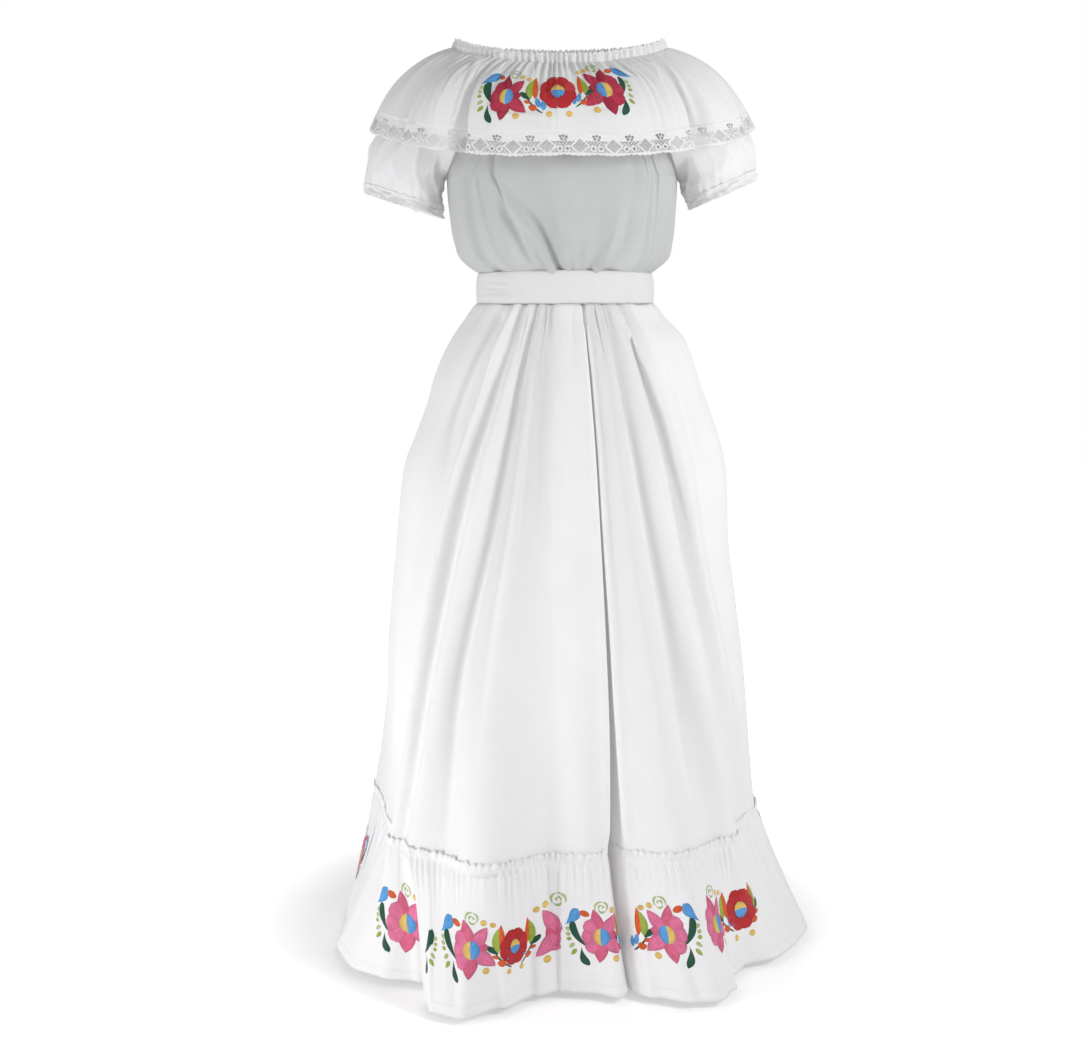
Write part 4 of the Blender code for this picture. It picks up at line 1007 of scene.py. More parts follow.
# %% Sleeve sizes
# Upper x and z, lower x and z, half depth.
SLEEVE_RIGHT = [
    (-0.1840, 0.2880, -0.1680, 0.1430, 0.078),
    (-0.2310, 0.2440, -0.1690, 0.1350, 0.074),
    (-0.2640, 0.1990, -0.1700, 0.1260, 0.069),
    (-0.2740, 0.1660, -0.1705, 0.1170, 0.064),
    (-0.2780, 0.1440, -0.1690, 0.1085, 0.056),
]
SLEEVE_LEFT = [
    (0.1740, 0.2900, 0.1590, 0.1440, 0.078),
    (0.2200, 0.2480, 0.1600, 0.1390, 0.074),
    (0.2540, 0.2040, 0.1610, 0.1340, 0.069),
    (0.2610, 0.1760, 0.1630, 0.1280, 0.063),
    (0.2630, 0.1620, 0.1670, 0.1200, 0.053),
]
CUFF_RIGHT = [
    (-0.2780, 0.1433, -0.1690, 0.1078, 0.0560),
    (-0.2775, 0.1370, -0.1700, 0.1015, 0.0535),
    (-0.2775, 0.1290, -0.1690, 0.0940, 0.0560),
]
CUFF_LEFT = [
    (0.2630, 0.1613, 0.1670, 0.1193, 0.0530),
    (0.2625, 0.1550, 0.1700, 0.1130, 0.0505),
    (0.2640, 0.1460, 0.1740, 0.1060, 0.0530),
]
print("the right sleeve reaches", SLEEVE_RIGHT[-1][0], "m and the left", SLEEVE_LEFT[-1][0], "m to the side")

# %% [markdown]
# ## Sleeve loops
#
# The first loop of the sleeve is the armhole itself, laid on the blouse body, so the
# sleeve stays sewn on. The others are ovals through the points of the table. A path
# with a bevel would make a tube too, but its end would not fit the armhole.

# %% Sleeve loops
def armhole_loop(side, turn):
    """Loop on the blouse body that the sleeve is sewn to."""
    up, face = np.cos(turn), np.sin(turn)
    power = np.where(up > 0, ARMHOLE_TOP_POWER, ARMHOLE_LOW_POWER)
    size = (np.abs(up) ** power + np.abs(face) ** power) ** (-1 / power)
    height, y = ARMHOLE_MIDDLE + ARMHOLE_HALF * up * size, -ARMHOLE_DEPTH * face * size
    angle = np.degrees(np.arctan2(side * bodice_radius(side * 90.0, height), -y))
    x = bodice_radius(angle, height) * np.sin(np.radians(angle)) + side * ARMHOLE_LAP
    return np.stack([x, y, height], axis=-1)


def loop_sections(rows, turn):
    """Loops between upper and lower points, each with its own half depth."""
    table = np.array(rows)[:, :, None]
    upper = np.concatenate([table[:, 0:1], 0 * table[:, 0:1], table[:, 1:2]], axis=1)
    lower = np.concatenate([table[:, 2:3], 0 * table[:, 2:3], table[:, 3:4]], axis=1)
    face = np.concatenate([0 * table[:, 4:5], -table[:, 4:5], 0 * table[:, 4:5]], axis=1)
    loops = (upper + lower) / 2 + (upper - lower) / 2 * np.cos(turn) + face * np.sin(turn)
    return np.swapaxes(loops, 1, 2)


print("the armhole loop passes", armhole_loop(1, np.array([0.0]))[0], "at its top")

# %% [markdown]
# ## Sleeves and cuffs
#
# The loops are joined by cubic curves, then gathered and crumpled. Gathers grow towards
# the elastic. The crumples could be sculpted, but three sets of slanting ridges are
# easier to change. They rise at the middle of the sleeve, where the cloth is loose.

# %% Sleeves and cuffs
CUFF_WALL, SLEEVE_GATHERS = 0.0008, 26
# Share of the way down the tube, millimetres of gather.
SLEEVE_DEPTHS = [(0, 0), (0.55, 0.15), (0.85, 0.9), (1, 1.5)]
CUFF_DEPTHS = [(0, 1.5), (0.45, 0.6), (0.7, 1.0), (1, 2.6)]
# Ridges round the sleeve, how far they slant, millimetres high.
CRUMPLES = ((5, 0.9, 4.4), (9, -1.7, 3.0), (14, 0.7, 1.8))
CRUMPLE_SINK = -3.2
TURN = np.arange(190) * 2 * np.pi / 190


def make_tube(loops, rows, gathers, seed):
    """Closed cloth through loops, with sine gathers whose depth follows a table down the tube
    and crumples (1 - |sin|)^1.5 that are highest at its middle."""
    stations = np.arange(len(loops))
    down = np.linspace(0, len(loops) - 1, rows)
    points = np.moveaxis(smooth(down, stations, np.moveaxis(loops, 0, -1)), -1, 0)
    cloth = Cloth(points, row=0.8)
    turn = np.linspace(0, 1, points.shape[1], endpoint=False)
    table = np.array(gathers)
    deep = smooth(down / down[-1], table[:, 0], table[:, 1])[:, None] * MM
    slow = 1.1 * np.sin(2 * np.pi * turn * 3 + seed)
    beat = turn * SLEEVE_GATHERS + slow + 0.3 * np.sin(2 * np.pi * turn * 8 + seed)
    wave = np.sin(2 * np.pi * beat) * (0.8 + 0.3 * np.sin(2 * np.pi * turn * 5 + 2 * seed))
    big = np.sin(2 * np.pi * turn * 6 + seed + 2.0 * down[:, None] / down[-1])
    bulk = np.sin(np.pi * down / down[-1])[:, None] ** 1.5 * MM
    u, v = np.meshgrid(turn, down / down[-1])
    crumple = CRUMPLE_SINK
    for count, lean, high in CRUMPLES:
        ridge = 1 - np.abs(np.sin(np.pi * (count * u + lean * v) + count * seed))
        crumple = crumple + high * ridge ** 1.5
    return cloth.raised(deep * wave + bulk * (big * 1.4 + crumple))


def make_sleeve(side, sections, seed):
    """Puff sleeve between its armhole loop and its last section."""
    loops = np.concatenate([armhole_loop(side, TURN)[None], loop_sections(sections, TURN)])
    return make_tube(loops[:, ::-side], 54, SLEEVE_DEPTHS, seed)


def make_cuff(side, sections, seed):
    """Gathered cuff: tight at its elastic, frilled at its lower edge."""
    return make_tube(loop_sections(sections, TURN)[:, ::-side], 16, CUFF_DEPTHS, seed)


sleeve_left = make_sleeve(1, SLEEVE_LEFT, 1.0)
sleeve_right = make_sleeve(-1, SLEEVE_RIGHT, 2.2)
cuff_left = make_cuff(1, CUFF_LEFT, 1.0)
cuff_right = make_cuff(-1, CUFF_RIGHT, 2.2)
sleeve_left_piece = sheet_mesh("sleeve_left_cloth", sleeve_left, SLEEVE, SHEER_WALL, closed=True)
sleeve_right_piece = sheet_mesh("sleeve_right_cloth", sleeve_right, SLEEVE, SHEER_WALL, closed=True)
cuff_left_piece = sheet_mesh("cuff_left_cloth", cuff_left, SLEEVE, CUFF_WALL, closed=True)
cuff_right_piece = sheet_mesh("cuff_right_cloth", cuff_right, SLEEVE, CUFF_WALL, closed=True)
say_size("left sleeve", sleeve_left)
say_size("left cuff", cuff_left)

# %% [markdown]
# ## Neckline casing
#
# The neckline is a narrow casing round an elastic, gathered tightly, with a small frill
# above it. Two waves of different length are mixed, because gathers on elastic are
# never quite even. The same count of gathers carries on into the flounce.

# %% Neckline casing
CASING_WALL, CASING_DROP, NECK_GATHERS = 0.0008, 0.0150, 86


def neck_beat(angle):
    """Count of gathers passed at an angle, with two slow waves that make them uneven."""
    slow = 0.35 * np.sin(np.radians(angle) * 7)
    return angle * NECK_GATHERS / 360 + slow + 0.25 * np.sin(np.radians(angle) * 17 + 1)


def make_casing():
    """Closed strip on the neckline oval, waved by the gathers and pinched at the elastic."""
    turn = np.linspace(-90, 270, 680, endpoint=False)
    down = np.linspace(0, 1, 12)[:, None]
    beat = neck_beat(turn)
    wave = 0.5 + 0.5 * np.sin(2 * np.pi * beat)
    second = 0.5 + 0.5 * np.sin(2 * np.pi * beat * 1.5 + 2)
    deep = smooth(down[:, 0], [0, 0.22, 0.35, 0.75, 1], [4.2, 1.6, 3.4, 2.8, 3.4])[:, None]
    flare = 0.0065 * down * np.sin(np.radians(turn)) ** 4
    radius = neck_radius(turn) + deep * MM * (wave * 0.75 + second * 0.25) + flare
    side = np.exp(-(((np.abs((turn + 180) % 360 - 180) - 91) / 11) ** 2))
    height = neck_height(turn) - CASING_DROP * down + 0.0030 * (1 - down) * (second - 0.6 - 1.4 * side)
    return Cloth(around(turn, radius, height, NECK_CENTRE_X))


casing = make_casing()
casing_piece = sheet_mesh("neck_casing_cloth", casing, FLOUNCE, CASING_WALL, closed=True)
say_size("neckline casing", casing)

# %% [markdown]
# ## Flounce sizes
#
# The flounce is a wide collar that falls over the shoulders and sleeves. It puffs out
# below the neckline and hangs in a few deep folds at the sides, while the front is
# nearly flat under its embroidery. Cloth could be dropped over the shoulders, but its
# deep folds would fall anywhere. A fold table puts them where they belong.

# %% Flounce sizes
FLOUNCE_START = -0.0135
# Half width to the left and right and half depth to the front and back, at its edge.
FLOUNCE_SIZES = (0.2560, 0.2480, 0.1540, 0.1500)
FLOUNCE_POWER, FLOUNCE_PUFF = 2.1, 0.0150
# Angle from the centre front or back, height of the edge.
FLOUNCE_HEIGHT = [
    (0, 0.1980), (30, 0.1980), (50, 0.2050), (70, 0.2200), (90, 0.2430),
    (110, 0.2320), (130, 0.2150), (180, 0.2050),
]
# Angle at neck and edge, millimetres out at the middle and edge, sharpness.
FLOUNCE_FRONT_FOLDS = [
    (-90.0, -90.0, 0, 0, 0.3),
    (-80.0, -79.0, 4, 4, 0.0),
    (-69.0, -72.0, -2, -1, 0.3),
    (-65.0, -69.5, -9, -13, 0.4),
    (-60.0, -66.0, 3, 2, 0.3),
    (-52.0, -58.0, 8, 6, 0.0),
    (-44.0, -51.5, 4, -3, 1.0),
    (-41.0, -49.0, -13, -26, 0.5),
    (-36.0, -43.5, 2, -2, 0.5),
    (-26.0, -32.0, 5, 3, 0.0),
    (-12.0, -14.0, 3, 3, 0.0),
    (0.0, 0.0, 5, 2, 0.0),
    (12.0, 14.0, 3, 4, 0.0),
    (26.0, 30.0, 5, 3, 0.0),
    (36.0, 41.0, 1, -2, 0.0),
    (43.0, 48.0, 5, 3, 0.0),
    (49.0, 54.0, 4, -2, 1.0),
    (53.0, 57.5, -11, -22, 0.5),
    (59.0, 63.0, 4, 2, 0.3),
    (70.0, 72.0, 8, 6, 0.0),
    (80.0, 81.0, 1, -3, 0.0),
    (90.0, 90.0, 0, 0, 0.3),
]
FLOUNCE_BACK_FOLDS = [
    (90.0, 90.0, 0, 0, 0.3),
    (104.0, 104.0, 5, 6, 0.0),
    (118.0, 118.0, -4, -6, 0.0),
    (134.0, 134.0, 6, 8, 0.0),
    (150.0, 150.0, -3, -5, 0.0),
    (166.0, 166.0, 6, 7, 0.0),
    (180.0, 180.0, -3, -4, 0.0),
    (195.0, 195.0, 6, 7, 0.0),
    (210.0, 210.0, -3, -5, 0.0),
    (226.0, 226.0, 6, 8, 0.0),
    (242.0, 242.0, -4, -6, 0.0),
    (256.0, 256.0, 5, 6, 0.0),
    (270.0, 270.0, 0, 0, 0.3),
]
print("the flounce's edge is", FLOUNCE_SIZES[0] + FLOUNCE_SIZES[1], "m wide")

# %% [markdown]
# ## Flounce sheets
#
# Each column runs from the neckline to the edge along a raised curve and is pushed out
# by its fold. Below a share of 1 the same curve carries straight on, which is how the
# lace stays joined to the edge. The gathers of the casing fade out down the cloth, each
# at its own length.

# %% Flounce sheets
def flounce_surface(lines, places, share, gather=0.0):
    """Flounce points: neckline to edge along a raised curve, moved out by the folds."""
    table = np.array(lines)
    straight = np.ones(len(table))
    neck_angle = along_lines(table[:, 0], places, straight)
    edge_angle = along_lines(table[:, 1], places, straight)
    middle_out = along_lines(table[:, 2], places, table[:, 4]) * MM
    edge_out = along_lines(table[:, 3], places, table[:, 4]) * MM
    flare = 0.0050 * np.sin(np.radians(neck_angle)) ** 4
    start = around(neck_angle, neck_radius(neck_angle) + 0.0008 + flare,
                   neck_height(neck_angle) + FLOUNCE_START, NECK_CENTRE_X)
    heights = np.array(FLOUNCE_HEIGHT)
    edge_z = smooth(np.abs((edge_angle + 180) % 360 - 180), heights[:, 0], heights[:, 1])
    end = around(edge_angle, oval(edge_angle, *FLOUNCE_SIZES, FLOUNCE_POWER), edge_z)
    turn = np.radians(edge_angle)
    out = np.stack([np.sin(turn), -np.cos(turn), 0 * turn], axis=-1)
    drop = end - start
    length = np.linalg.norm(drop, axis=-1, keepdims=True)
    lift = np.cross(np.cross(drop, out), drop)
    lift /= np.linalg.norm(lift, axis=-1, keepdims=True)
    share = np.asarray(share, float)[:, None, None]
    inside = np.clip(share, 0, 1)
    puff = 4 * inside * (1 - inside) * FLOUNCE_PUFF
    wave = middle_out[:, None] * 4 * inside * (1 - inside) + edge_out[:, None] * inside * (2 * inside - 1)
    points = start + drop * inside + lift * puff + out * (wave + np.asarray(gather)[..., None])
    low = drop / length - lift * 4 * FLOUNCE_PUFF / length
    low = low / np.linalg.norm(low, axis=-1, keepdims=True)
    return points + low * (share - inside) * length


FLOUNCE_DOWN = np.linspace(0, 1, 50) ** 1.2


def make_flounce(lines, columns, seed):
    """One half of the flounce as cloth."""
    places = even_places(lambda p: flounce_surface(lines, p, [1.0])[0], lines, columns)
    table = np.array(lines)
    angle = np.interp(places, np.arange(len(table)), table[:, 0])
    wave = 0.5 + 0.5 * np.sin(2 * np.pi * neck_beat(angle))
    slow = noise_line(angle * 0.002, 0.012, seed)
    share = FLOUNCE_DOWN[:, None]
    reach = 0.38 + 0.26 * noise_line(angle * 0.002, 0.007, seed + 1)
    fade = np.exp(-(share / reach) ** 1.3)
    ease = np.exp(-((share - 0.35) / 0.35) ** 2)
    gather = (wave * 4.8 * fade + slow * 3.0 * ease) * MM
    return Cloth(flounce_surface(lines, places, FLOUNCE_DOWN, gather), row=1.0)


flounce_front = make_flounce(FLOUNCE_FRONT_FOLDS, columns=520, seed=61)
flounce_back = make_flounce(FLOUNCE_BACK_FOLDS, columns=220, seed=67)
say_size("flounce front", flounce_front)
say_size("flounce back", flounce_back)

# %% [markdown]
# ## Flounce creases
#
# Two laps at the sides show where the flounce falls over itself, narrow pleats leave
# the elastic at uneven lengths, and the embroidery presses a few flat marks into the
# cloth below it. They are drawn as lines, because the fold table can't start or stop a
# fold in the middle of the sheet.

# %% Flounce creases
FLOUNCE_WALL = 0.0007
FLOUNCE_LINES = [
    ("lap_right", [(0.172, 0.002), (0.192, 0.050), (0.196, 0.085), (0.190, 0.135)], 0.024,
     [2.0, 4.5, 5.5, 5.0]),
    ("crease", [(0.122, 0.004), (0.129, 0.052), (0.131, 0.092), (0.131, 0.135)], 0.0060,
     [-2.5, -4.0, -3.5, -2.5]),
    ("lap_left", [(0.565, 0.004), (0.530, 0.055), (0.523, 0.085), (0.521, 0.135)], 0.024,
     [2.0, 4.5, 5.5, 5.0]),
    ("crease", [(0.588, 0.004), (0.574, 0.083), (0.575, 0.135)], 0.0055, [1.5, 3.5, 2.5]),
    ("crease", [(0.140, 0.002), (0.150, 0.060), (0.153, 0.115)], 0.0024, [-3.0, -3.0, -0.8]),
    ("crease", [(0.156, 0.002), (0.166, 0.055), (0.170, 0.095)], 0.0021, [-3.4, -3.0, -0.8]),
    ("crease", [(0.190, 0.002), (0.206, 0.065)], 0.0022, [-3.4, -1.5]),
    ("crease", [(0.215, 0.002), (0.222, 0.030), (0.226, 0.075)], 0.0022, [-3.8, -3.6, -0.8]),
    ("crease", [(0.236, 0.002), (0.244, 0.052)], 0.0021, [-3.6, -1.2]),
    ("crease", [(0.252, 0.002), (0.258, 0.034)], 0.0020, [-3.4, -1.0]),
    ("crease", [(0.318, 0.002), (0.326, 0.035)], 0.0021, [-3.8, -1.5]),
    ("crease", [(0.352, 0.002), (0.350, 0.045)], 0.0020, [-4.2, -2.2]),
    ("crease", [(0.388, 0.002), (0.392, 0.035)], 0.0021, [-3.6, -1.5]),
    ("crease", [(0.420, 0.002), (0.421, 0.030)], 0.0020, [-3.6, -1.5]),
    ("crease", [(0.465, 0.002), (0.482, 0.045)], 0.0022, [-3.8, -1.4]),
    ("crease", [(0.486, 0.002), (0.500, 0.070)], 0.0022, [-3.6, -1.4]),
    ("crease", [(0.506, 0.002), (0.514, 0.065)], 0.0024, [-3.6, -1.0]),
    ("crease", [(0.545, 0.002), (0.546, 0.095)], 0.0026, [-3.4, -0.8]),
    ("crease", [(0.606, 0.002), (0.602, 0.100)], 0.0028, [-2.6, -0.8]),
    ("crease", [(0.100, 0.002), (0.104, 0.095)], 0.0028, [-2.8, -0.8]),
    ("crease", [(0.058, 0.008), (0.056, 0.060), (0.052, 0.125)], 0.0060, [-1.4, -3.4, -2.6]),
    ("crease", [(0.079, 0.006), (0.078, 0.060), (0.075, 0.125)], 0.0070, [1.2, 3.0, 2.2]),
    ("crease", [(0.634, 0.006), (0.636, 0.060), (0.640, 0.125)], 0.0060, [-1.4, -3.2, -2.4]),
    ("crease", [(0.654, 0.006), (0.657, 0.060), (0.662, 0.125)], 0.0070, [1.2, 2.8, 2.0]),
]
# Start, end, bend, millimetres, width.
PRESS_MARKS = [
    (0.268, 0.0945, 0.352, 0.0960, 0.001, -1.8, 0.0022), (0.272, 0.0990, 0.350, 0.1005, 0.001, 1.0, 0.0030),
    (0.395, 0.0930, 0.455, 0.0900, 0.002, -1.2, 0.0024), (0.352, 0.0900, 0.356, 0.1180, 0.002, 1.0, 0.0040),
]
marks = fold_lines(flounce_front, FLOUNCE_LINES) + creases(flounce_front, PRESS_MARKS)
flounce_front = flounce_front.raised(marks)
flounce_front_piece = sheet_mesh("flounce_front_cloth", flounce_front, FLOUNCE, FLOUNCE_WALL)
flounce_back_piece = sheet_mesh("flounce_back_cloth", flounce_back, FLOUNCE, FLOUNCE_WALL)
print(len(FLOUNCE_LINES), "pleats and creases and", len(PRESS_MARKS), "press marks on the flounce")

# %% [markdown]
# ## Lace pattern
#
# The edging looks machine-made: net-filled diamonds, groups of eyelets, small rings and a
# scalloped edge, repeated every 43 mm. A picture with clear holes could stand for it,
# but real holes catch light and shadow. So a rule says for each cell of a fine grid
# whether it has thread.

# %% Lace pattern
LACE_REPEAT, LACE_DROP = 0.0430, 0.0290
# Place across and down one repeat and half sizes, in millimetres.
EYELETS = [
    (-3.4, 4.6, 1.7, 1.8), (0.8, 4.0, 1.9, 1.6), (4.8, 5.2, 1.7, 1.8), (-1.5, 8.0, 2.0, 1.5),
    (3.0, 8.6, 1.7, 1.4),
]


def lace_keep(u, v):
    """Where the lace has thread: eyelets, net-filled diamonds |x|/a + |y|/b < 1, rings and scallops."""
    across = (u / LACE_REPEAT) % 1.0
    middle = (across - 0.5) * LACE_REPEAT / MM
    side = LACE_REPEAT / MM / 2 - np.abs(middle)
    down = v / MM
    solid = np.ones_like(u, bool)
    for x, y, wide, high in EYELETS:
        solid &= ((middle - x) / wide) ** 2 + ((down - y) / high) ** 2 > 1
    diamond = side / 12.0 + np.abs(down - 16.5) / 10.5
    slant, fall = (u + v) / MM, (u - v) / MM
    small = (np.abs((slant / 3.4) % 1 - 0.5) < 0.38) & (np.abs((fall / 3.4) % 1 - 0.5) < 0.38)
    large = (np.abs((slant / 4.4) % 1 - 0.5) < 0.38) & (np.abs((fall / 4.4) % 1 - 0.5) < 0.38)
    solid &= ~(small & (diamond < 0.84))
    ring = np.hypot(np.abs(middle) - 4.7, down - 20.0)
    outside = (diamond > 1.10) & (down > 10.5) & (down < 25.0)
    solid &= ~(large & outside & (ring > 4.0))
    solid &= ~((ring < 2.0) & (ring > 0.0))
    scallop = 1.6 * np.abs(np.cos(np.pi * u / LACE_REPEAT))
    edge = 26.6 + scallop + 1.4 * np.abs(np.sin(6 * np.pi * u / LACE_REPEAT))
    return solid & (down < edge)


trial = lace_keep(*np.meshgrid(np.linspace(0, LACE_REPEAT, 90), np.linspace(0, 0.026, 60)))
print("share of the lace that is open:", 1 - trial.mean())

# %% [markdown]
# ## Lace edging
#
# The lace carries the flounce's curve on below its edge and waves a little by itself.
# Its holes could be cut with Boolean tools, which is slow for so many. Here the cells
# without thread are left out of the mesh before it gets its wall.

# %% Lace edging
LACE_WALL = 0.0006


def make_lace(name, lines, columns):
    """One half of the lace: the flounce's own curve carried on below its edge."""
    fine = even_places(lambda p: flounce_surface(lines, p, [1.0])[0], lines, columns)
    rows = np.linspace(-0.04, 1.06, 39)
    top = flounce_surface(lines, fine, [1.0])[0]
    low = flounce_surface(lines, fine, [1.25])[0]
    way = (low - top) / np.linalg.norm(low - top, axis=1)[:, None]
    wavy = 1.2 * noise_line(np.arange(columns) * 0.0007, 0.011, 71) * MM
    out = np.clip(rows, 0, 1)[:, None] * wavy
    points = top + way * (rows * LACE_DROP)[:, None, None] + out[..., None] * np.array([0, -1, 0])
    cloth = Cloth(points, row=0.0)
    middle_u = (cloth.u[:-1] + cloth.u[1:]) / 2
    middle_v = (rows[:-1] + rows[1:]) / 2 * LACE_DROP
    keep = lace_keep(*np.meshgrid(middle_u, middle_v))
    return cloth, sheet_mesh(name, cloth, LACE, LACE_WALL, keep=keep)


lace_front, lace_front_piece = make_lace("lace_front_net", FLOUNCE_FRONT_FOLDS, columns=960)
lace_back_piece = make_lace("lace_back_net", FLOUNCE_BACK_FOLDS, columns=520)[1]
say_size("lace front", lace_front)

# %% [markdown]
# ## Embroidery thread
#
# The flowers look machine-stitched in satin stitch, whose thread lies side by side and
# shines along its length. A plain colour would look like paint. Fine streaks of painted
# sheen and shade, with a little random tone, follow each patch, and the rim of a patch is
# painted darker, a painted shade where the stitches turn down into the cloth.

# %% Embroidery thread
def thread(name, colour):
    """Shiny embroidery thread: fine streaks along the stitches, both as a small bump and as painted sheen
    and shade in its colour, and painted shade at each patch's rim.
    """
    paint = Paint(name, colour, 0.46)
    u, v = paint.lengths()
    streak = paint.noise(u * 1500.0, v * 120.0)
    patch = paint.noise(u * 90.0, v * 90.0)
    paint.bump(streak + u.wave(0.0009) * 0.4, 0.0005, 0.8)
    # Painted shade: the rim attribute darkens each patch towards its edge, where the stitches turn down into
    # the cloth.
    edge = paint.node("Attribute", attribute_name="edge", attribute_type="GEOMETRY").outputs["Fac"]
    # Painted sheen and shade: the streaks move the colour between the thread's colour and a darker copy of
    # it.
    stitches = ((streak - 0.5) * 2.2 + patch + 0.15).clamp()
    shade = stitches * (1.0 - Number(paint.tree, edge).step("POWER", 4.0))
    deep = tuple(0.55 * c for c in colour)
    paint.colour(shade, deep, colour)
    paint.shader.inputs["Specular IOR Level"].default_value = 0.35
    return paint.material


# Painted sheen and shade: the second pink and crimson threads are darker copies of the first. They go to
# petals that catch less sheen and to the star's base, which shows between its petals.
THREADS = [
    thread("pink_thread", (0.92, 0.21, 0.40)),
    thread("shaded_pink_thread", (0.82, 0.14, 0.27)),
    thread("crimson_thread", (0.60, 0.034, 0.085)),
    thread("shaded_crimson_thread", (0.46, 0.022, 0.055)),
    thread("red_thread", (0.60, 0.020, 0.026)),
    thread("deep_red_thread", (0.42, 0.012, 0.015)),
    thread("blue_thread", (0.11, 0.40, 0.85)),
    thread("yellow_thread", (0.98, 0.64, 0.15)),
    thread("orange_thread", (0.88, 0.13, 0.022)),
    thread("green_thread", (0.010, 0.095, 0.050)),
    thread("lime_thread", (0.40, 0.52, 0.06)),
    thread("pale_green_thread", (0.55, 0.67, 0.26)),
]
PETAL, PETAL_SHADED, RED, RED_DEEP, BLUE, YELLOW, ORANGE, GREEN, LIME, PALE = 0, 1, 4, 5, 6, 7, 8, 9, 10, 11
print(len(THREADS), "thread colours, from", THREADS[0].name, "to", THREADS[-1].name)

# %% [markdown]
# ## Petals and coils
#
# Every petal, leaf and dot is one patch of stitches with a start, an end and a swelling
# width, so a motif can be a short table. Each patch has a colour, its two ends, its
# width, where it is widest (above one is near the end), how pointed it is (half is
# round), its bend, which part of its width it fills, and how high it lies. Lengths are
# millimetres.

# %% Petals and coils
def petal(colour, angle, inner, outer, width, belly, point, level=0.3):
    """Patch that points away from the middle of a flower."""
    turn = np.radians(angle)
    way = np.array([np.cos(turn), np.sin(turn)])
    return (colour, *(way * inner), *(way * outer), width, belly, point, 0, -1, 1, level)


def coil(x, y, radius, colour):
    """Spiral of five bent ribbons, each turning 120 degrees with a smaller radius."""
    rows = []
    for step, share in enumerate([1.0, 0.86, 0.68, 0.48, 0.28]):
        first, last = np.radians(200 - 120 * step), np.radians(80 - 120 * step)
        near, far = radius * share, radius * (share - 0.12)
        start = (x + near * np.cos(first), y + near * np.sin(first))
        end = (x + far * np.cos(last), y + far * np.sin(last))
        rows.append((colour, *start, *end, 2.7, 1.0, 0.22, 0.5 * near, -1, 1, 0.1))
    return rows


print("a petal to the right:", petal(PETAL, 0, 4, 25, 20, 1.5, 0.5))

# %% [markdown]
# ## Motif tables
#
# The flowers are common folk motifs: a star with eight petals and a split eye, a round
# flower, sprays of leaves and dots, and a coil. Drawing them as tables keeps the
# embroidery light, and one side serves for both when it is mirrored.

# %% Motif tables
# The darker petal rows and the star's base take the darker copy of the petal thread: painted sheen and
# shade.
STAR = [
    (PETAL_SHADED, 0, -14, 0, 14, 27, 1.0, 0.5, 0, -1, 1, 0.0),
    petal(PETAL, 133, 4, 28, 20, 1.5, 0.5), petal(PETAL, 180, 4, 25, 20, 1.5, 0.5),
    petal(PETAL, 227, 4, 27, 19, 1.5, 0.5), petal(PETAL_SHADED, 103, 3, 37, 16, 0.75, 0.8, 0.2),
    petal(PETAL, 52, 3, 34, 17, 0.8, 0.8), petal(PETAL, -38, 3, 36, 18, 0.75, 0.8),
    petal(PETAL_SHADED, -98, 3, 34, 18, 0.75, 0.8, 0.2), petal(PETAL_SHADED, 8, 3, 21, 14, 0.8, 0.6, 0.1),
    (YELLOW, 0, -11.5, 0, 11.5, 20, 1.0, 0.5, 0, 0.15, 1, 0.9),
    (BLUE, 0, -11.5, 0, 11.5, 20, 1.0, 0.5, 0, -1, 0.15, 0.9),
    (BLUE, -45, 15, -27, 37, 14, 2.0, 0.62, -2, -1, 1, 0.1),
    (ORANGE, -26, 33, -13, 28, 8, 1.0, 0.55, 0, -1, 1, 0.1),
    (YELLOW, 13, 33, 21, 32, 7.5, 1.0, 0.5, 0, -1, 1, 0.1),
    (YELLOW, 24, 30, 32, 28, 6.5, 1.0, 0.5, 0, -1, 1, 0.1),
    (YELLOW, 11, -27, 20, -27, 8, 1.0, 0.5, 0, -1, 1, 0.1),
] + coil(3, 37, 9.0, PALE)
OUTER = [
    (GREEN, -33, 20, -17, -12, 9, 0.5, 0.75, -4, -1, 1, 0.1),
    (GREEN, -23, -12, -16, -36, 9, 2.0, 0.7, -3, -1, 1, 0.1),
    (PALE, -41, 11, -35, 8, 4.6, 1.0, 0.5, 0, -1, 1, 0.1),
    (PALE, -41, 4, -35, 2, 4.6, 1.0, 0.5, 0, -1, 1, 0.1),
    (LIME, -40, -3, -34, -3, 4.4, 1.0, 0.5, 0, -1, 1, 0.1),
    (PALE, -37, -14, -31, -8, 4.6, 1.2, 0.55, 0, -1, 1, 0.1),
    (LIME, -35, -23, -29, -15, 4.8, 1.2, 0.6, 0, -1, 1, 0.1),
]
INNER = [
    (LIME, 28, -6, 31, 25, 11, 0.9, 0.75, 2, -1, 1, 0.0),
    (ORANGE, 36, -6, 33, 29, 9, 0.9, 0.8, 1, -1, 1, 0.1),
    (GREEN, 15, 4, 29, -6, 7, 0.8, 0.6, 0, -1, 1, 0.1),
    (GREEN, 25, -4, 46, -25, 2.4, 1.0, 0.3, -2, -1, 1, 0.1),
    (BLUE, 36, -3, 42, -17, 7, 1.3, 0.6, 0, -1, 1, 0.15),
    (BLUE, 46, -7, 47, -21, 6.5, 1.3, 0.6, 0, -1, 1, 0.15),
    (ORANGE, 21, -8, 30, -11, 4.4, 1.0, 0.6, 0, -1, 1, 0.1),
    (ORANGE, 27, -16, 38, -18, 8.5, 1.2, 0.6, 0, -1, 1, 0.1),
]
ROUND = [(RED_DEEP, 0, -16, 0, 16, 32, 1.0, 0.5, 0, -1, 1, 0.0)]
ROUND += [petal(RED, 22.5 + 45 * k, 4, 22, 17, 1.5, 0.5) for k in range(8)]
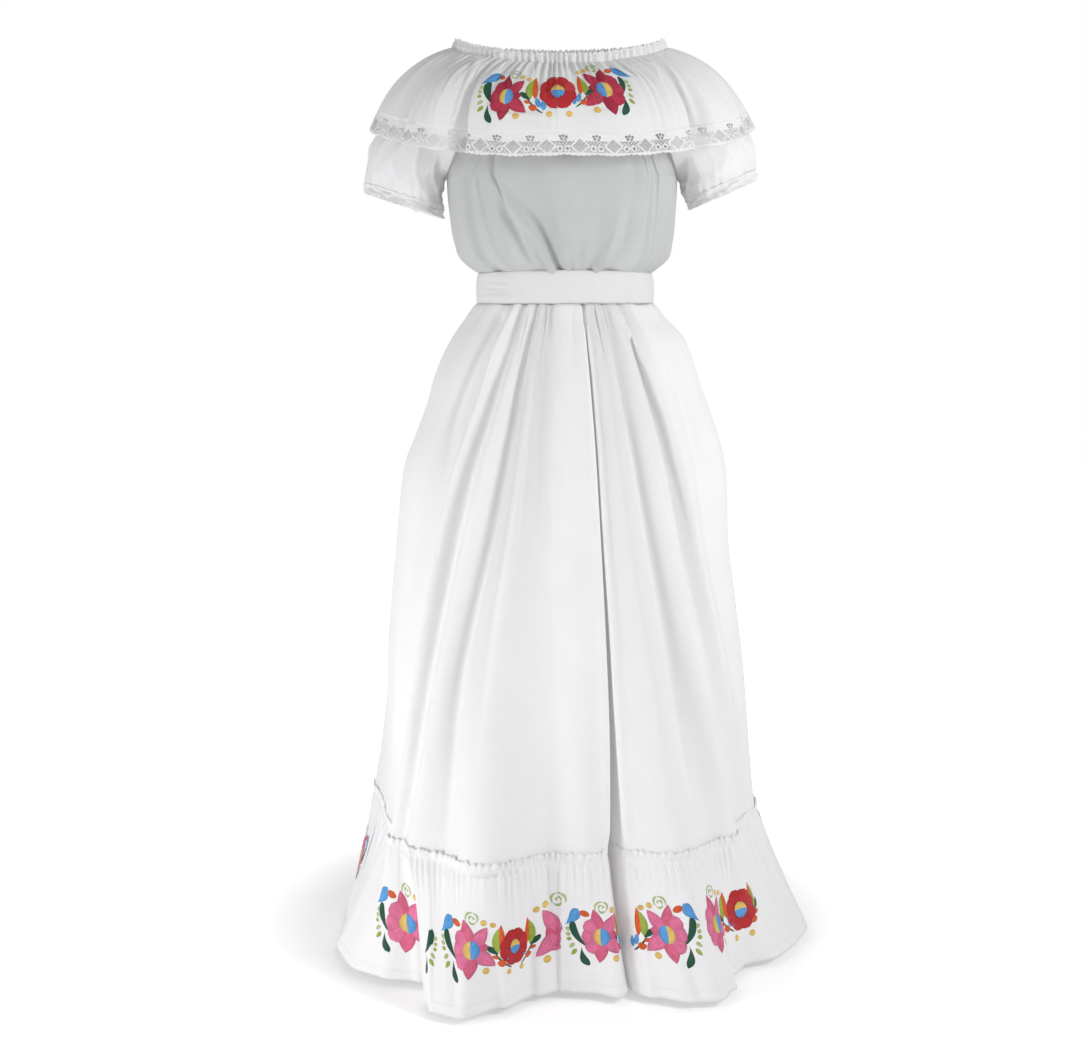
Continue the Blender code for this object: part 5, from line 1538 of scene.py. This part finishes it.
ROUND += [
    (RED_DEEP, 0, -9.5, 0, 9.5, 19, 1.0, 0.5, 0, -1, 1, 0.7),
    (YELLOW, -8, 0, 8, 0, 17, 1.0, 0.5, 0, 0.15, 1, 1.1),
    (BLUE, -8, 0, 8, 0, 17, 1.0, 0.5, 0, -1, 0.15, 1.1),
    (YELLOW, -14, -27, -7, -27, 6.5, 1.0, 0.5, 0, -1, 1, 0.1),
    (YELLOW, 7, -27, 14, -27, 6.5, 1.0, 0.5, 0, -1, 1, 0.1),
]
STAR_PART = [row for row in STAR if row[0] == YELLOW and row[11] < 0.5] + coil(3, 37, 9.0, PALE) + [
    (PETAL_SHADED, 7, -15, 7, 15, 20, 1.0, 0.5, 0, -1, 1, 0.0),
    (PETAL, 0, -14, 16, -15, 9, 1.0, 0.5, 0, -1, 1, 0.1),
    petal(PETAL, 52, 1, 34, 17, 0.8, 0.8), petal(PETAL, -38, 1, 36, 18, 0.75, 0.8),
]
STAR_BARE = [row for row in STAR if row[1] > -44 and row[0] != ORANGE]
MOTIFS = {
    "star": STAR, "star_part": STAR_PART, "star_bare": STAR_BARE,
    "outer": OUTER, "inner": INNER, "round": ROUND,
}
print("patches in each motif:", {name: len(rows) for name, rows in MOTIFS.items()})

# %% [markdown]
# ## Stitched patches
#
# All patches of a sheet are worked out together. Each is laid on the cloth by its
# lengths across and down and domed a little, so it bends with every fold below it. A
# flat decal would slide over the creases.

# %% Stitched patches
def embroider(name, cloth, places, steps=12, columns=6):
    """Patches on the cloth: the middle line runs from start to end with a bend, the half
    width is sin(pi t^belly)^point, and the dome over it is 1 - s^2 across."""
    rows = []
    for motif, u, v, side, size, tone in places:
        table = np.array(MOTIFS[motif], float)
        table[:, 0] += np.where(table[:, 0] < 2, tone, 0)
        rows.append(np.column_stack([table, np.tile([u, v, side, size], (len(table), 1))]))
    patch = np.vstack(rows)[:, :, None, None]
    t = np.linspace(0, 1, steps)[None, :, None]
    across = np.linspace(0, 1, columns)[None, None, :]
    side = patch[:, 14]
    across = np.where(side > 0, 1 - across, across)
    s = patch[:, 9] + (patch[:, 10] - patch[:, 9]) * across
    x0, y0, x1, y1 = patch[:, 1], patch[:, 2], patch[:, 3], patch[:, 4]
    length = np.hypot(x1 - x0, y1 - y0)
    out_x, out_y = -(y1 - y0) / length, (x1 - x0) / length
    swell = np.clip(np.sin(np.pi * t ** patch[:, 6]), 0, 1) ** patch[:, 7]
    wide = patch[:, 5] / 2 * swell * s
    off = wide + patch[:, 8] * 4 * t * (1 - t)
    x, y = x0 + (x1 - x0) * t + out_x * off, y0 + (y1 - y0) * t + out_y * off
    dome = np.minimum(0.7, patch[:, 5] * 0.07) * (1 - s**2) * swell**0.5
    lift = (patch[:, 11] + dome + 0.42) * MM
    scale = patch[:, 15] * MM
    points = cloth.at(patch[:, 12] + side * scale * x, patch[:, 13] - scale * y, lift)
    count, down, over = points.shape[:3]
    n, i, j = np.meshgrid(np.arange(count), np.arange(down - 1), np.arange(over - 1), indexing="ij")
    first = (n * down + i) * over + j
    faces = np.stack([first, first + over, first + over + 1, first + 1], axis=-1).reshape(-1, 4)
    shift = np.arange(count)[:, None, None] * 0.013
    uv = np.stack([wide * MM + shift, t * length * MM + 0 * s], axis=-1).reshape(-1, 2)
    slots = np.repeat(patch[:, 0, 0, 0], (down - 1) * (over - 1))
    piece = add_mesh(name, points.reshape(-1, 3), faces, uv[faces.ravel()], THREADS, slots)
    # Painted shade at each patch's rim, stored as the point attribute that the thread material reads.
    edge = piece.data.attributes.new("edge", "FLOAT", "POINT")
    painted_rim_shade = np.maximum(np.abs(s), np.abs(2 * t - 1) ** 6) + 0 * wide
    edge.data.foreach_set("value", painted_rim_shade.astype(np.float32).ravel())
    return piece


print("a star is", len(STAR), "patches, each a grid of 12 by 6 points on the front")

# %% [markdown]
# ## Motifs on the cloth
#
# A row gives the motif, where it sits across and down the cloth, which way it faces,
# its size and its star's colour. Placing them by the cloth's lengths, and not in space,
# lets some run into a deep fold and show only in part, as on a gathered ruffle whose
# cloth was embroidered flat.

# %% Motifs on the cloth
PINK, CRIMSON = 0, 2


def whole_unit(u, v, size, tone, spread=0.058):
    """A left half, the round flower and the mirrored half."""
    left = [(part, u - spread, v, 1, size, tone) for part in ("star", "outer", "inner")]
    right = [(part, u + spread, v, -1, size, tone) for part in ("star", "outer", "inner")]
    return left + [("round", u, v, 1, size, tone)] + right


blouse_motifs = [
    ("star", 0.2893, 0.0728, 1, 1.04, CRIMSON), ("outer", 0.2893, 0.0728, 1, 1.1, CRIMSON),
    ("inner", 0.2920, 0.0700, 1, 1.1, CRIMSON), ("round", 0.3640, 0.0640, 1, 1.28, CRIMSON),
    ("inner", 0.4325, 0.0640, -1, 1.0, CRIMSON), ("star", 0.4345, 0.0610, -1, 1.15, CRIMSON),
    ("outer", 0.4325, 0.0610, -1, 1.1, CRIMSON),
]
hem_motifs = [
    ("star", 0.2404, 0.1130, 1, 1.2, PINK), ("outer", 0.2360, 0.1130, 1, 1.15, PINK),
    ("outer", 0.2950, 0.1150, -1, 1.0, PINK),
    ("outer", 0.3883, 0.1100, 1, 1.1, PINK), ("inner", 0.3930, 0.1120, 1, 1.1, PINK),
    ("star", 0.3903, 0.1100, 1, 1.05, PINK), ("inner", 0.5110, 0.1120, -1, 1.1, PINK),
    ("star_part", 0.5225, 0.1090, -1, 1.25, PINK), ("round", 0.4500, 0.1130, 1, 1.12, PINK),
    ("outer", 0.5730, 0.1120, 1, 1.1, PINK), ("inner", 0.5719, 0.1120, 1, 1.05, PINK),
    ("star", 0.5740, 0.1120, 1, 1.04, PINK),
    ("inner", 0.7300, 0.1060, -1, 1.1, PINK), ("star", 0.7300, 0.1060, -1, 1.08, PINK),
    ("outer", 0.7300, 0.1060, -1, 1.15, PINK),
    ("inner", 0.8150, 0.1060, 1, 1.15, PINK), ("star_bare", 0.8140, 0.1040, 1, 1.1, PINK),
    ("inner", 0.9480, 0.1060, -1, 1.2, PINK), ("round", 0.8860, 0.1070, 1, 1.42, PINK),
]
back_motifs = [row for k in range(5) for row in whole_unit(0.119 + 0.212 * k, 0.108, 1.0, PINK)]
blouse_flowers = embroider("blouse_embroidery", flounce_front, blouse_motifs)
hem_flowers_front = embroider("hem_embroidery_front", ruffle_front, hem_motifs)
hem_flowers_back = embroider("hem_embroidery_back", ruffle_back, back_motifs, steps=10, columns=5)
for flowers in (blouse_flowers, hem_flowers_front, hem_flowers_back):
    print(flowers.name, "has", len(flowers.data.polygons), "faces")

# %% [markdown]
# ## Background light
#
# The dress is lit as in a pale studio. A soft sky gives even light from all round, and
# the camera sees pure white behind the dress. One sky for both would either be too
# strong a light or too grey a background.

# %% Background light
SKY_COLOUR, SKY_LIGHT = (0.97, 0.98, 1.0), 0.462

world = bpy.data.worlds.new("studio")
bpy.context.scene.world = world
world.use_nodes = True
sky = world.node_tree
sky.nodes["Background"].inputs[0].default_value = (*SKY_COLOUR, 1.0)
sky.nodes["Background"].inputs[1].default_value = SKY_LIGHT
backdrop = sky.nodes.new("ShaderNodeBackground")
backdrop.inputs[0].default_value = (1.0, 1.0, 1.0, 1.0)
backdrop.inputs[1].default_value = 1.0
either = sky.nodes.new("ShaderNodeMixShader")
sky.links.new(sky.nodes.new("ShaderNodeLightPath").outputs["Is Camera Ray"], either.inputs[0])
sky.links.new(sky.nodes["Background"].outputs[0], either.inputs[1])
sky.links.new(backdrop.outputs[0], either.inputs[2])
sky.links.new(either.outputs[0], sky.nodes["World Output"].inputs[0])
bpy.context.scene.view_settings.view_transform = "Standard"
print("sky", SKY_COLOUR, "at", SKY_LIGHT)

# %% [markdown]
# ## Floor
#
# A pale floor lies just below the hem and takes a soft shadow, partly real from the lamps
# and partly painted: its glow towards the camera is dimmed near the dress, a painted
# shadow under the hem, and is full further out, so that it fades into the white
# background. The glow is kept from the dress itself, which would otherwise be lit from
# below and look flat.

# %% Floor
FLOOR_HEIGHT, FLOOR_HALF, FLOOR_GLOW = -0.922, 6, 0.86
SHADE_START, SHADE_RISE = 0.36, 4.0
PAINTED_SHADOW_GLOW, FAR_GLOW = (0.30, 0.295, 0.30, 1.0), (1.0, 1.0, 1.0, 1.0)
UNSEEN_GLOW = (0.2, 0.2, 0.2, 1.0)

floor_mesh = bpy.data.meshes.new("floor")
floor_corners = [(-FLOOR_HALF, -FLOOR_HALF, 0), (FLOOR_HALF, -FLOOR_HALF, 0)]
floor_corners += [(FLOOR_HALF, FLOOR_HALF, 0), (-FLOOR_HALF, FLOOR_HALF, 0)]
floor_mesh.from_pydata(floor_corners, [], [(0, 1, 2, 3)])
floor = bpy.data.objects.new("floor", floor_mesh)
floor.location.z = FLOOR_HEIGHT
bpy.context.scene.collection.objects.link(floor)
floor_paint = Paint("floor_paint", (0.90, 0.90, 0.90), 0.9)
floor_paint.shader.inputs["Specular IOR Level"].default_value = 0.0
spot = floor_paint.node("TexCoord").outputs["Object"]
under = floor_paint.node("VectorMath", {0: spot}, operation="LENGTH")
# Painted shadow: the glow that the camera sees is dim near the dress and rises to full between 0.36 and 0.61
# m from its middle.
away = ((Number(floor_paint.tree, under.outputs["Value"]) - SHADE_START) * SHADE_RISE).clamp()
fade = floor_paint.node("Mix", {0: away, 6: PAINTED_SHADOW_GLOW, 7: FAR_GLOW}, data_type="RGBA")
seen = floor_paint.node("LightPath").outputs["Is Camera Ray"]
fade = floor_paint.node("Mix", {0: seen, 6: UNSEEN_GLOW, 7: fade.outputs[2]}, data_type="RGBA")
floor_paint.tree.links.new(fade.outputs[2], floor_paint.shader.inputs["Emission Color"])
floor_paint.shader.inputs["Emission Strength"].default_value = FLOOR_GLOW
floor_mesh.materials.append(floor_paint.material)

# %% [markdown]
# ## Lamps
#
# A sky alone hides the folds of white cloth. One broad lamp low on the left lights the
# lips of the pleats, a second on the right lights the bodice and sleeve, and a weak one
# high on the left softens the shadow under the lace. More lamps would flatten the folds.

# %% Lamps
def add_lamp(name, place, target, size, power):
    """Square area lamp at a place, turned to face a target."""
    lamp = bpy.data.lights.new(name, "AREA")
    lamp.shape, lamp.size, lamp.energy = "SQUARE", size, power
    holder = bpy.data.objects.new(name, lamp)
    bpy.context.scene.collection.objects.link(holder)
    way = np.array(target, float) - np.array(place, float)
    flat = np.hypot(way[0], way[1])
    holder.location = place
    holder.rotation_euler = (np.pi / 2 + np.arctan2(way[2], flat), 0, np.arctan2(-way[0], way[1]))


# Name, place, target, width and watts.
LAMPS = [
    ("low_left", (-1.5, -1.0, -0.85), (-0.1, 0, -0.7), 0.8, 24),
    ("high_right", (1.40, -1.00, 0.36), (0.15, 0, 0.25), 0.5, 17),
    ("high_left", (-1.5, -1.6, 1.0), (0, 0, -0.1), 0.5, 3),
]
for lamp_name, place, target, size, power in LAMPS:
    add_lamp(lamp_name, place, target, size, power)
print(len(LAMPS), "lamps,", sum(row[4] for row in LAMPS), "watts in all")

# %% [markdown]
# ## Camera
#
# The camera stands two and a half metres in front of the dress at waist height and
# looks slightly down. Its place and lens were fitted to the curves of the seam, the
# hem and the neckline, because such curves open more the further they are below the
# eye. A camera placed by trial would show the dress too, but with curves that open
# too much or too little.

# %% Camera
CAMERA_PLACE, CAMERA_DIP, CAMERA_LENS = (-0.0307, -2.46, 0.0), 7.61, 57.83

camera_data = bpy.data.cameras.new("camera")
camera_data.lens = CAMERA_LENS
camera = bpy.data.objects.new("camera", camera_data)
camera.location = CAMERA_PLACE
camera.rotation_euler = (np.radians(90 - CAMERA_DIP), 0, 0)
bpy.context.scene.collection.objects.link(camera)
bpy.context.scene.camera = camera
print("camera at", CAMERA_PLACE, "with a", CAMERA_LENS, "mm lens")

# %% [markdown]
# ## Attach the pieces
#
# Each sheet rides on the dress's one body and stands in for its solid, which is hidden.
# The embroideries go with the sheets that they are stitched on.

# %% Attach the pieces
# Sheet, its solid, its slot, flat width and length, how it is held, what it rests on.
PIECES = [
    (skirt_front_piece, "skirt_front", "cotton", (1.00, 0.74), "gathered", "waistband_front"),
    (skirt_back_piece, "skirt_back", "cotton", (0.95, 0.74), "gathered", "waistband_back"),
    (ruffle_front_piece, "ruffle_front", "cotton", (1.35, 0.18), "gathered", "skirt_front"),
    (ruffle_back_piece, "ruffle_back", "cotton", (1.30, 0.18), "gathered", "skirt_back"),
    (band_front_piece, "waistband_front", "cotton", (0.35, 0.045), "stretched", "bodice_front"),
    (band_back_piece, "waistband_back", "cotton", (0.35, 0.045), "stretched", "bodice_back"),
    (bodice_front_piece, "bodice_front", "sheer_cotton", (0.42, 0.33), "hung", "neck_casing"),
    (bodice_back_piece, "bodice_back", "sheer_cotton", (0.42, 0.33), "hung", "neck_casing"),
    (casing_piece, "neck_casing", "cotton", (0.95, 0.018), "gathered", "bodice_front"),
    (flounce_front_piece, "flounce_front", "cotton", (0.72, 0.14), "gathered", "neck_casing"),
    (flounce_back_piece, "flounce_back", "cotton", (0.68, 0.14), "gathered", "neck_casing"),
    (lace_front_piece, "lace_front", "lace", (0.80, 0.03), "hung", "flounce_front"),
    (lace_back_piece, "lace_back", "lace", (0.72, 0.03), "hung", "flounce_back"),
    (sleeve_left_piece, "sleeve_left", "sheer_cotton", (0.45, 0.13), "gathered", "bodice_front"),
    (sleeve_right_piece, "sleeve_right", "sheer_cotton", (0.45, 0.13), "gathered", "bodice_front"),
    (cuff_left_piece, "cuff_left", "cotton", (0.36, 0.018), "gathered", "sleeve_left"),
    (cuff_right_piece, "cuff_right", "cotton", (0.36, 0.018), "gathered", "sleeve_right"),
]
SEWN_ON = {
    "flounce_front": blouse_flowers,
    "ruffle_front": hem_flowers_front,
    "ruffle_back": hem_flowers_back,
}
for piece, node, slot_name, flat, held, rests_on in PIECES:
    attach(piece, "root")
    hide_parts(node)
for flowers in SEWN_ON.values():
    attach(flowers, "root")
print(len(PIECES), "sheets and", len(SEWN_ON), "embroideries")

# %% [markdown]
# ## Measure and finish
#
# The triangles of every finished piece are counted and one side of each sheet is
# measured.

# %% Measure and finish
depsgraph = bpy.context.evaluated_depsgraph_get()
total = 0
for piece in [row[0] for row in PIECES] + list(SEWN_ON.values()):
    faces = piece.evaluated_get(depsgraph).data.polygons
    corners, areas = np.zeros(len(faces), np.int32), np.zeros(len(faces), np.float32)
    faces.foreach_get("loop_total", corners)
    faces.foreach_get("area", areas)
    count = int(corners.sum()) - 2 * len(faces)
    sides = 2 if piece.modifiers else 1
    total += count
    print(piece.name, count, "triangles,", round(float(areas.sum()) / sides, 4), "m2 on one side")
print("triangles in all", total)
